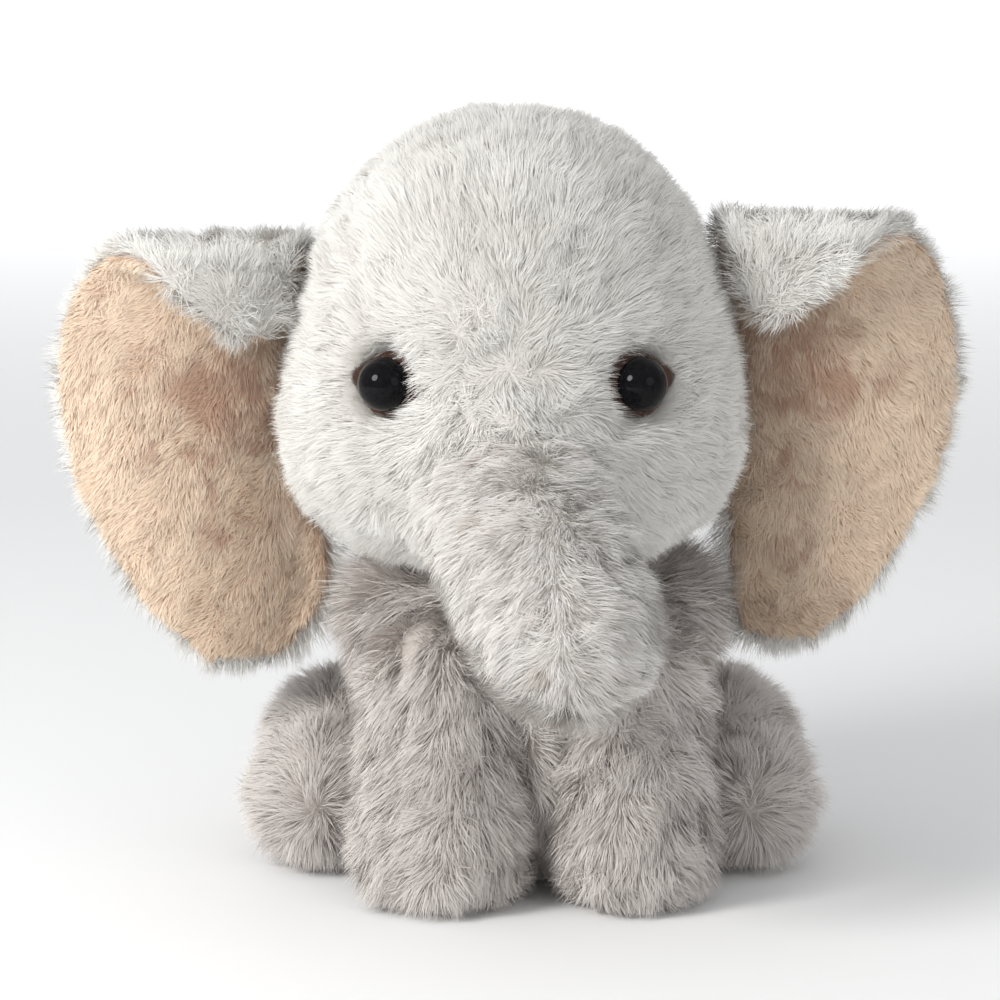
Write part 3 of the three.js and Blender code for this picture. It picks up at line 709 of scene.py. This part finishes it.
def head_comb(points, normals):
    """Out from the bridge, parted a little at the crown's seam, led round each eye and down the back."""
    comb = unit(flat_on(points - BRIDGE, normals))
    behind = np.clip((points[:, 1] - HEAD_MIDDLE_Y + 22 * MM) / (44 * MM), 0, 1)[:, None]
    behind = behind * behind * (3 - 2 * behind)
    comb = comb * (1 - behind) + np.array([0, 0.15, -1.0]) * behind
    tufty = closeness(points, BRIDGE, 24 * MM)[:, None]
    comb += tufty * wave_vectors(points, TUFT_SIZE, SWIRL_SEED + 20)
    crown = np.clip((points[:, 2] - (HEAD_TOP - 24 * MM)) / (20 * MM), 0, 1)
    comb[:, 0] += np.tanh(points[:, 0] / (3 * MM)) * np.exp(-np.abs(points[:, 0]) / (9 * MM)) * crown * 0.7
    near, away = eye_distance(points)
    close = np.clip(1 - (near - 7 * MM) / (7 * MM), 0, 1)[:, None]
    outer = outer_side_of_eye(away, points)[:, None]
    return comb * (1 - 0.75 * close * outer) + unit(flat_on(away, normals)) * close * (1.6 * outer - 0.6)


def head_length(points, normals):
    near, away = eye_distance(points)
    outer = outer_side_of_eye(away, points)
    short = 1 - (1 - np.clip((near - 6 * MM) / (9 * MM), 0, 1)) * (0.95 * outer - 0.35)
    bridge = np.linalg.norm(points - BRIDGE, axis=1)
    return short * np.clip(0.74 + 0.26 * bridge / (24 * MM), 0, 1)


def head_lift(points, normals):
    """The pile lies lower at the bridge, and on the back of the head."""
    behind = np.clip((points[:, 1] - HEAD_MIDDLE_Y) / (30 * MM), 0, 1)
    return -16 * closeness(points, BRIDGE, 20 * MM) - 12 * behind


def head_keep(points, normals):
    """Leaves the eyes bare, with more room at the outer corner of each felt."""
    near, away = eye_distance(points)
    outer = outer_side_of_eye(away, points)
    corner = np.clip(1 - np.abs(away[:, 2] - 1.5 * MM) / (2.4 * MM), 0, 1) * (outer > 0.9)
    return ~on_trunk(points) & (near > 6.3 * MM + 1.2 * MM * outer + 2.6 * MM * corner)


def trunk_comb(points, normals):
    """Out from the trunk's upper line to both sides, and out from the dimple at its end."""
    along = past_trunk_root(points)
    axis_x = trunk_root[0] + along * 0.19
    across = np.tanh((points[:, 0] - axis_x) / (9 * MM))
    ahead = 0.15 + 0.5 * np.clip((along - TRUNK_START) / (26 * MM), 0, 1)
    comb = TRUNK_WAY[None, :] * ahead[:, None] + np.stack([across, 0 * across, 0 * across - 0.3], axis=1)
    near = 0.6 * closeness(points, TRUNK_DIMPLE, 15 * MM)[:, None]
    from_dimple = unit(flat_on(points - TRUNK_DIMPLE, normals))
    tufts = wave_vectors(points, 8 * MM, SWIRL_SEED + 30)
    return unit(flat_on(comb, normals)) * (1 - near) + from_dimple * near + tufts * near * 0.9


def trunk_lift(points, normals):
    """The pile stands a little at the dimple and lies lower where the trunk leaves the head."""
    near = closeness(points, TRUNK_DIMPLE, 12 * MM)
    root = np.clip(1 - (past_trunk_root(points) - TRUNK_START) / (18 * MM), 0, 1)
    return 5 * near - 20 * root


def trunk_length(points, normals):
    """The pile is shorter in the dimple at the trunk's end, and longest round it."""
    far = np.linalg.norm(points - TRUNK_DIMPLE, axis=1)
    ring = np.exp(-(((far - 17 * MM) / (7 * MM)) ** 2))
    return 1 - 0.45 * closeness(points, TRUNK_DIMPLE, 4.5 * MM) + 0.12 * ring


def from_neck(down):
    """Away from the neck over the shoulders, and down."""
    def comb(points, normals):
        return unit(points - NECK_POINT) * (1 - down) + np.array([0, 0, -1.0]) * down
    return comb


NECK_POINT = joint_at("neck_turn") + np.array([0, 0.01, 0.004])
SHOULDER_Z = 68 * MM


def shoulder(points):
    """1 on the shoulders under the head, 0 lower down."""
    return np.clip((points[:, 2] - SHOULDER_Z + 14 * MM) / (14 * MM), 0, 1)


def sole_short(points, normals):
    """Pile is pressed short where the part rests on the floor."""
    under = np.clip((-normals[:, 2] - 0.3) / 0.6, 0, 1)
    low_down = np.clip(1 - points[:, 2] / (9 * MM), 0, 1)
    return 1 - 0.7 * under * low_down


head_surface = Surface(head_skin.data)
torso_surface = Surface(torso_skin.data)
leg_surfaces = {leg: Surface(skin.data) for leg, skin in leg_skins.items()}
all_legs = list(leg_surfaces.values())

# ---------- pile on the head and trunk ----------
HEAD_LOOK = dict(
    length=6.8 * MM, width=0.135 * MM, lift_deg=50, bend_deg=24, clump_mm=1.9, clump=0.46, scruff=0.3
)
TRUNK_LOOK = {**HEAD_LOOK, "length": 7.4 * MM, "clump": 0.5, "clump_mm": 2.4}
HEAD_DENSITY = 6.8
for half, across in (("left", -1), ("right", 1)):
    for end, along in (("front", -1), ("back", 1)):
        def in_quarter(points, normals, across=across, along=along):
            quarter = (points[:, 0] * across >= 0) & ((points[:, 1] - HEAD_MIDDLE_Y) * along >= 0)
            return quarter & head_keep(points, normals)
        grow(
            f"head_pile_{end}_{half}", head_surface, "head", HEAD_PILE, 11 + across + 3 * along, HEAD_DENSITY,
            comb_of=head_comb, length_of=head_length, lift_of=head_lift, hidden_by=[torso_surface],
            keep=in_quarter, **HEAD_LOOK,
        )


def trunk_painted_shade(points):
    """Painted shade: darker in the dimple at the trunk's end, and a little along the trunk's upper line where
    the pile parts; a little paler elsewhere.
    """
    beside = points[:, 0] - trunk_root[0] - past_trunk_root(points) * 0.15
    line = np.exp(-((beside / (6 * MM)) ** 2))
    # painted shade in the dimple and along the parted upper line
    return 0.08 - 0.5 * closeness(points, TRUNK_DIMPLE, 3.6 * MM) - 0.12 * line


trunk_blend = (
    "head",
    "trunk",
    tuple(trunk_root + TRUNK_WAY * TRUNK_START),
    tuple(trunk_root + TRUNK_WAY * TRUNK_END),
)
grow(
    "trunk_pile", head_surface, trunk_blend, TRUNK_PILE, 21, 7.6, shade_of=trunk_painted_shade, comb_of=trunk_comb,
    lift_of=trunk_lift, length_of=trunk_length, keep=lambda p, n: on_trunk(p), **TRUNK_LOOK,
)


def split_skin(skin, chosen, name):
    """Moves the faces whose points are all chosen into a new object."""
    flag = chosen(coordinates(skin.data))
    parts = []
    for want in (False, True):
        work = bmesh.new()
        work.from_mesh(skin.data)
        drop = [f for f in work.faces if all(flag[v.index] for v in f.verts) != want]
        bmesh.ops.delete(work, geom=drop, context="FACES")
        mesh = bpy.data.meshes.new(name)
        work.to_mesh(mesh)
        work.free()
        parts.append(mesh)
    skin.data = parts[0]
    other = bpy.data.objects.new(name, parts[1])
    scene.collection.objects.link(other)
    return other


trunk_skin = split_skin(head_skin, on_trunk, "trunk_skin")
head_skin.data.materials.append(HEAD_BACKING)
trunk_skin.data.materials.append(HEAD_BACKING)
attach(head_skin, "head")
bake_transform(trunk_skin)
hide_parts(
    "head_left_panel", "head_right_panel", "head_back_panel", "head_stuffing", "neck_stuffing"
)
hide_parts("trunk_upper_panel", "trunk_under_panel", "trunk_stuffing")

# ---------- pile on the body and legs ----------
BODY_LOOK = dict(
    length=9.4 * MM, width=0.15 * MM, lift_deg=54, bend_deg=30, clump_mm=3.2, clump=0.5, scruff=0.36
)
TAIL_LOOK = {**BODY_LOOK, "length": 7 * MM, "width": 0.22 * MM}


def torso_length(points, normals):
    return sole_short(points, normals) * (1 + 0.6 * shoulder(points))


def torso_lift(points, normals):
    return 12 * shoulder(points)


TORSO_MIDDLE_Y = middle_of("torso_stuffing")[1]
for end, along in (("front", -1), ("back", 1)):
    def in_half(points, normals, along=along):
        return (points[:, 1] - TORSO_MIDDLE_Y) * along >= 0

    grow(
        f"torso_pile_{end}", torso_surface, "torso", BODY_PILE, 31 + along, 5.0, comb_of=from_neck(0.15),
        keep=in_half, length_of=torso_length, lift_of=torso_lift, hidden_by=all_legs + [head_surface],
        **BODY_LOOK,
    )
torso_skin.data.materials.append(BODY_BACKING)
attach(torso_skin, "torso")
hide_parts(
    "belly_panel", "back_left_panel", "back_right_panel", "torso_stuffing", "pellet_bag",
    "neck_collar",
)


def sole_nearness(points, normals, centre):
    front = np.clip((-normals[:, 1] - 0.1) / 0.5, 0, 1)
    return front * closeness(points, centre, 17 * MM)


def sole_comb(centre):
    """Out from the middle of the sole on the foot's front, and down the rest of the leg."""
    def comb(points, normals):
        near = sole_nearness(points, normals, centre)[:, None]
        tufts = wave_vectors(points, TUFT_SIZE, SWIRL_SEED + 40)
        out = unit(flat_on(points - centre, normals)) * 1.1 + tufts * 0.9
        return out * near + np.array([0, 0.35, -0.75]) * (1 - near)
    return comb


for number, leg in enumerate(LEGS):
    surface = leg_surfaces[leg]
    others = [torso_surface] + [leg_surfaces[other] for other in LEGS if other != leg]
    joint = joint_at(f"{leg}_{'swing' if leg.startswith('front') else 'lift'}")
    lift_of = None
    if leg.startswith("front"):
        comb = from_neck(0.5)
        start = joint + np.array([0, 0.006, 0.012])
        end = joint + np.array([0, -0.004, -0.016])
    else:
        sole = middle_of(f"{leg}_sole")
        comb = sole_comb(sole)
        lift_of = lambda p, n, sole=sole: 20 * sole_nearness(p, n, sole)
        start = joint + np.array([0, 0.012, 0.004])
        end = joint + np.array([0, -0.016, -0.004])
    blend = ("torso", leg, tuple(start), tuple(end))
    grow(
        f"{leg}_pile", surface, blend, BODY_PILE, 41 + number, 6.0, comb_of=comb, length_of=sole_short,
        lift_of=lift_of, hidden_by=others, **BODY_LOOK,
    )
    skin = leg_skins[leg]
    skin.data.materials.append(BODY_BACKING)
    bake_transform(skin)
    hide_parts(f"{leg}_panel", f"{leg}_sole", f"{leg}_stuffing")

tail_surface = Surface(tail_skin.data)
grow(
    "tail_pile", tail_surface, "tail", BODY_PILE, 51, 2.6, comb_of=lambda p, n: np.array([0, 0, -1.0]),
    **TAIL_LOOK,
)
tail_skin.data.materials.append(BODY_BACKING)
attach(tail_skin, "tail")
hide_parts("tail", "tail_tuft")

# ---------- ears ----------
AGAINST = 2.6 * MM  # a layer's face that has the other layer this close grows no pile
EAR_LOOK = dict(
    length=7.2 * MM, width=0.15 * MM, lift_deg=40, bend_deg=24, clump_mm=2.4, clump=0.5, scruff=0.24
)
LINING_LOOK = dict(
    length=3.9 * MM, width=0.15 * MM, lift_deg=36, bend_deg=18, clump_mm=2.8, clump=0.34, scruff=0.3
)
RIM_LOOK = dict(
    length=6.2 * MM, width=0.13 * MM, lift_deg=56, bend_deg=20, clump_mm=2.2, clump=0.45, scruff=0.3
)
RIM_FACING = np.array([0, -1.1, 0.2])


class Ear:
    """How the pile lies on one ear, from its own middle, half size and side of the head."""

    def __init__(self, side):
        low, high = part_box(f"ear_lining_{side}")
        self.sign = -1 if side == "left" else 1
        self.middle = middle_of(f"ear_lining_{side}")
        self.half = (np.array(high) - np.array(low)) / 2

    def out(self, points):
        """From -1 at the head to 1 at the ear's outer rim."""
        return (points[:, 0] - self.middle[0]) * self.sign / self.half[0]

    def up(self, points):
        return (points[:, 2] - self.middle[2]) / self.half[2]

    def rim(self, points, normals):
        """1 where the layer's edge faces away from the ear's middle, 0 on its broad faces."""
        away = unit((points - self.middle) * np.array([1, 0, 1]))
        return np.clip((np.sum(normals * away, axis=1) - 0.35) / 0.4, 0, 1)

    def outer_comb(self, points, normals):
        """Out and down from the seam, and straight out over the rim."""
        away = (points - self.middle) * np.array([1, 0.2, 1])
        edge = np.linalg.norm(((points - self.middle) / self.half)[:, [0, 2]], axis=1)
        edge = np.clip((edge - 0.55) / 0.35, 0, 1)[:, None]
        return unit(away) * edge + np.array([self.sign * 0.35, -0.1, -0.6])

    def outer_lift(self, points, normals):
        upright = 18 * self.rim(points, normals) * np.clip(1 - normals[:, 2], 0, 1)
        return upright - 12 * np.clip(-normals[:, 1], 0, 1)

    def outer_length(self, points, normals):
        return 1 + 0.15 * self.rim(points, normals) - 0.3 * np.clip(normals[:, 2] / 0.7, 0, 1)

    def lining_comb(self, points, normals):
        return np.array([self.sign * 0.55, -0.1, -0.8])

    def lining_shade(self, points):
        """Pinker and darker in the hollow under the rolled edge as painted shade, darker towards the head and
        paler to the rim as painted shade and light, with soft streaks down the layer.
        """
        out, up = self.out(points), self.up(points)
        # painted shade in the hollow under the rolled edge
        painted_pocket_shade = np.exp(-(((out + 0.25) / 0.55) ** 2)) * np.exp(-(((up - 0.3) / 0.32) ** 2))
        streaks = wave_noise(points * np.array([1, 1, 0.4]), 7 * MM, SWIRL_SEED + 50)
        return 0.2 + 0.15 * out - 0.7 * painted_pocket_shade + 0.12 * streaks

    def rim_keep(self, points, normals):
        return (self.rim(points, normals) > 0.3) & (normals[:, 2] < 0.6)

    def rim_comb(self, points, normals):
        return unit((points - self.middle) * np.array([1, 0, 1])) + np.array([0, -0.7, 0])

    def rim_length(self, points, normals):
        """Longest at the lobe's inner side, where it meets the body's pile."""
        inner = np.clip(-self.out(points) - 0.2, 0, 0.6)
        low_down = np.clip(-self.up(points), 0, 0.6)
        return 1 + 1.6 * inner * low_down / 0.6


def not_against(other):
    """Keeps roots that aren't on the face that lies against the other layer."""
    def keep(points, normals):
        flags = np.ones(len(points), bool)
        for k in range(len(points)):
            if other.tree.ray_cast(Vector(points[k]), Vector(normals[k]), AGAINST)[0] is not None:
                flags[k] = False
        return flags
    return keep


for number, side in enumerate(SIDES):
    ear, body = Ear(side), f"ear_{side}"
    outer, lining = Surface(ear_outer[side].data), Surface(ear_lining[side].data)
    # shade_of 0.2 gives the outer layer paler tufts than the head's: painted light on its upright fold.
    grow(
        f"ear_outer_{side}_pile", outer, body, HEAD_PILE, 61 + number, 5.4, comb_of=ear.outer_comb,
        keep=not_against(lining), hidden_by=[head_surface], lift_of=ear.outer_lift,
        length_of=ear.outer_length, shade_of=lambda p: 0.2, **EAR_LOOK,
    )
    grow(
        f"ear_lining_{side}_pile", lining, body, LINING_PILE, 71 + number, 10.5, comb_of=ear.lining_comb,
        keep=not_against(outer), hidden_by=[head_surface], shade_of=ear.lining_shade, **LINING_LOOK,
    )
    # shade_of 0.3 gives the rim paler tufts still: painted light on the rim's fibres.
    grow(
        f"ear_rim_{side}_pile", outer, body, HEAD_PILE, 65 + number, 9.0, comb_of=ear.rim_comb,
        keep=ear.rim_keep, hidden_by=[head_surface], length_of=ear.rim_length, shade_of=lambda p: 0.3,
        facing=RIM_FACING, **RIM_LOOK,
    )
    ear_outer[side].data.materials.append(HEAD_BACKING)
    ear_lining[side].data.materials.append(LINING_BACKING)
    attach(ear_outer[side], body)
    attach(ear_lining[side], body)
    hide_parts(f"ear_outer_{side}")
    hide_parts(f"ear_lining_{side}")

# ---------- eyes ----------


def glossy_material():
    """Black glass-like plastic with faint dust."""
    material, tree, shader = new_material("eye_black")
    place = node(tree, "ShaderNodeTexCoord")
    dust = node(tree, "ShaderNodeTexNoise")
    dust.inputs["Scale"].default_value = 900
    dust.inputs["Detail"].default_value = 5
    tree.links.new(place.outputs["Object"], dust.inputs["Vector"])
    rough = ramp(tree, [(0.45, (0.02, 0.02, 0.02, 1)), (0.8, (0.1, 0.1, 0.1, 1))])
    tree.links.new(dust.outputs["Fac"], rough.inputs["Fac"])
    tree.links.new(rough.outputs["Color"], shader.inputs["Roughness"])
    colours = ramp(tree, [(0.35, srgb(8, 8, 10)), (0.75, srgb(20, 19, 22))])
    tree.links.new(dust.outputs["Fac"], colours.inputs["Fac"])
    tree.links.new(colours.outputs["Color"], shader.inputs["Base Color"])
    shader.inputs["Specular IOR Level"].default_value = 0.11
    return material


def felt_material():
    material, tree, shader = new_material("felt_brown")
    place = node(tree, "ShaderNodeTexCoord")
    fibres = node(tree, "ShaderNodeTexNoise")
    fibres.inputs["Scale"].default_value = 1400
    fibres.inputs["Detail"].default_value = 6
    fibres.inputs["Distortion"].default_value = 1.5
    tree.links.new(place.outputs["Object"], fibres.inputs["Vector"])
    colours = ramp(tree, [(0.3, srgb(42, 25, 19)), (0.7, srgb(92, 62, 48))])
    tree.links.new(fibres.outputs["Fac"], colours.inputs["Fac"])
    tree.links.new(colours.outputs["Color"], shader.inputs["Base Color"])
    bump = node(tree, "ShaderNodeBump")
    bump.inputs["Strength"].default_value = 0.7
    bump.inputs["Distance"].default_value = 0.0003
    tree.links.new(fibres.outputs["Fac"], bump.inputs["Height"])
    tree.links.new(bump.outputs["Normal"], shader.inputs["Normal"])
    shader.inputs["Roughness"].default_value = 0.95
    shader.inputs["Sheen Weight"].default_value = 0.4
    return material


EYE_BLACK = glossy_material()
FELT_BROWN = felt_material()
FELT_FUZZ = pile_material(
    "felt_fuzz", srgb(62, 40, 31), srgb(88, 60, 47), srgb(120, 90, 74), (0.8, 0.76, 0.72, 1)
)


def eye_axis(side):
    """The way the eye looks and a point on its axis, from the round washer behind it."""
    washer = NODES[f"eye_washer_{side}"]
    points = coordinates(washer.data)
    middle = (points.max(0) + points.min(0)) / 2
    _, _, rows = np.linalg.svd(points - points.mean(0))
    way = rows[2] * (-1 if rows[2][1] > 0 else 1)
    return middle, way


def turned_shape(name, profile, origin, way, around=64):
    """A round shape about an axis from [radius, distance along the axis] rows."""
    way = Vector(way).normalized()
    across = way.orthogonal().normalized()
    other = way.cross(across)
    points, faces = [], []
    for radius, out in profile:
        for k in range(around):
            turn = 2 * math.pi * k / around
            flat = across * math.cos(turn) + other * math.sin(turn)
            points.append(Vector(origin) + way * out + flat * radius)
    for ring in range(len(profile) - 1):
        for k in range(around):
            a, b = ring * around + k, ring * around + (k + 1) % around
            faces.append((a, b, b + around, a + around))
    points.append(Vector(origin) + way * profile[-1][1])
    top = len(points) - 1
    last = (len(profile) - 1) * around
    faces += [(last + k, last + (k + 1) % around, top) for k in range(around)]
    mesh = bpy.data.meshes.new(name)
    mesh.from_pydata([tuple(p) for p in points], [], faces)
    for polygon in mesh.polygons:
        polygon.use_smooth = True
    obj = bpy.data.objects.new(name, mesh)
    scene.collection.objects.link(obj)
    return obj


FELT_RADIUS = 7.6 * MM
FELT_POINT = 10.2 * MM
FELT_TURN = math.pi * 0.06
FELT_RINGS = [  # share of the felt's reach and of its thickness
    (0.15, 1.0), (0.5, 1.0), (0.8, 0.97), (0.93, 0.85), (1.0, 0.5), (0.98, 0.15), (0.9, 0.0), (0.15, 0.0)
]


def felt_backing(name, side, origin, way, low, high, around=120):
    """A felt disc behind the eye, drawn out to a point at its outer corner."""
    sign = -1 if side == "left" else 1
    outward = unit(np.array([sign, 0, 0]) - way * way[0] * sign)
    upward = np.cross(way, outward)
    upward *= np.sign(upward[2])
    turns = 2 * math.pi * np.arange(around) / around
    reach = FELT_RADIUS + (FELT_POINT - FELT_RADIUS) * np.maximum(0, np.cos(turns - FELT_TURN)) ** 16
    reach *= 1 + 0.012 * np.sin(turns * 9) + 0.008 * np.sin(turns * 23 + 1)
    rings = []
    for share, height in FELT_RINGS:
        flat = reach[:, None] * share * (np.cos(turns)[:, None] * outward + np.sin(turns)[:, None] * upward)
        rings.append(origin + flat + way * (low + (high - low) * height))
    points = np.concatenate(rings)
    points += way * (0.1 * MM * wave_noise(points, 2.5 * MM, 90))[:, None]
    faces = []
    for ring in range(len(FELT_RINGS) - 1):
        for k in range(around):
            a, b = ring * around + k, ring * around + (k + 1) % around
            faces.append((a, a + around, b + around, b))
    mesh = bpy.data.meshes.new(name)
    mesh.from_pydata(points.tolist(), [], faces)
    for polygon in mesh.polygons:
        polygon.use_smooth = True
    if mesh.polygons[0].normal.dot(Vector(way)) < 0:
        mesh.flip_normals()
    obj = bpy.data.objects.new(name, mesh)
    scene.collection.objects.link(obj)
    return obj


EYE_RADIUS = 6.25 * MM
EYE_HEIGHT = 6.0 * MM
EYE_EDGE = 0.6 * MM
EYE_BEVEL = 0.15 * MM
EYE_RINGS = 15
for side in SIDES:
    middle, way = eye_axis(side)
    along = coordinates(NODES[f"eye_{side}"].data) @ way
    top = along.max() - middle @ way
    base = top - EYE_HEIGHT - EYE_EDGE
    profile = [
        (EYE_RADIUS * 0.93, base), (EYE_RADIUS * 0.985, base + EYE_BEVEL), (EYE_RADIUS, base + EYE_EDGE)
    ]
    for k in range(1, EYE_RINGS):
        turn = math.pi / 2 * k / EYE_RINGS
        profile.append((EYE_RADIUS * math.cos(turn), base + EYE_EDGE + EYE_HEIGHT * math.sin(turn)))
    profile.append((0.02 * MM, top))
    dome = turned_shape(f"eye_dome_{side}", profile, middle, way)
    dome.data.materials.append(EYE_BLACK)
    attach(dome, "head")
    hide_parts(f"eye_{side}")
    flat = coordinates(NODES[f"eye_felt_{side}"].data) @ way - middle @ way
    felt = felt_backing(f"eye_backing_{side}", side, middle, way, flat.min(), flat.max())
    felt.data.materials.append(FELT_BROWN)
    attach(felt, "head")
    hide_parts(f"eye_felt_{side}")
    grow(
        f"eye_backing_{side}_fuzz", Surface(felt.data), "head", FELT_FUZZ, 81, 26.0,
        comb_of=lambda p, n, middle=middle: p - middle, keep=lambda p, n, way=way: n @ way > -0.2,
        length=0.9 * MM, width=0.06 * MM, lift_deg=40, bend_deg=20, clump_mm=0.8, clump=0.3, scruff=0.6,
        wisps=0.1,
    )

# ---------- small parts that keep their nodes' shape ----------


def woven_material(name, dark, light, threads, strength):
    """Woven or twisted thread: fine crossing bands with a mottled shade."""
    material, tree, shader = new_material(name)
    place = node(tree, "ShaderNodeTexCoord")
    noise = node(tree, "ShaderNodeTexNoise")
    noise.inputs["Scale"].default_value = 700
    noise.inputs["Detail"].default_value = 4
    bands = node(tree, "ShaderNodeTexWave", bands_direction="DIAGONAL")
    bands.inputs["Scale"].default_value = threads
    bands.inputs["Distortion"].default_value = 1.2
    for texture in (noise, bands):
        tree.links.new(place.outputs["Object"], texture.inputs["Vector"])
    colours = ramp(tree, [(0.3, dark), (0.7, light)])
    tree.links.new(noise.outputs["Fac"], colours.inputs["Fac"])
    tree.links.new(colours.outputs["Color"], shader.inputs["Base Color"])
    bump = node(tree, "ShaderNodeBump")
    bump.inputs["Strength"].default_value = strength
    bump.inputs["Distance"].default_value = 0.0002
    tree.links.new(bands.outputs["Fac"], bump.inputs["Height"])
    tree.links.new(bump.outputs["Normal"], shader.inputs["Normal"])
    shader.inputs["Roughness"].default_value = 0.85
    shader.inputs["Sheen Weight"].default_value = 0.2
    return material


def given_material(node_name, material):
    slot = NODES[node_name].material_slots[0]
    slot.link = "OBJECT"
    slot.material = material


THREAD = woven_material("thread", srgb(176, 168, 160), srgb(206, 199, 192), 900, 0.8)
LABEL_TAPE = woven_material("label_tape", srgb(226, 224, 219), srgb(244, 243, 240), 1500, 0.6)
WASHER_PLASTIC = woven_material("washer_plastic", srgb(214, 214, 210), srgb(228, 228, 225), 120, 0.1)
given_material("closing_stitch", THREAD)
given_material("care_label", LABEL_TAPE)
for side in SIDES:
    given_material(f"eye_washer_{side}", WASHER_PLASTIC)
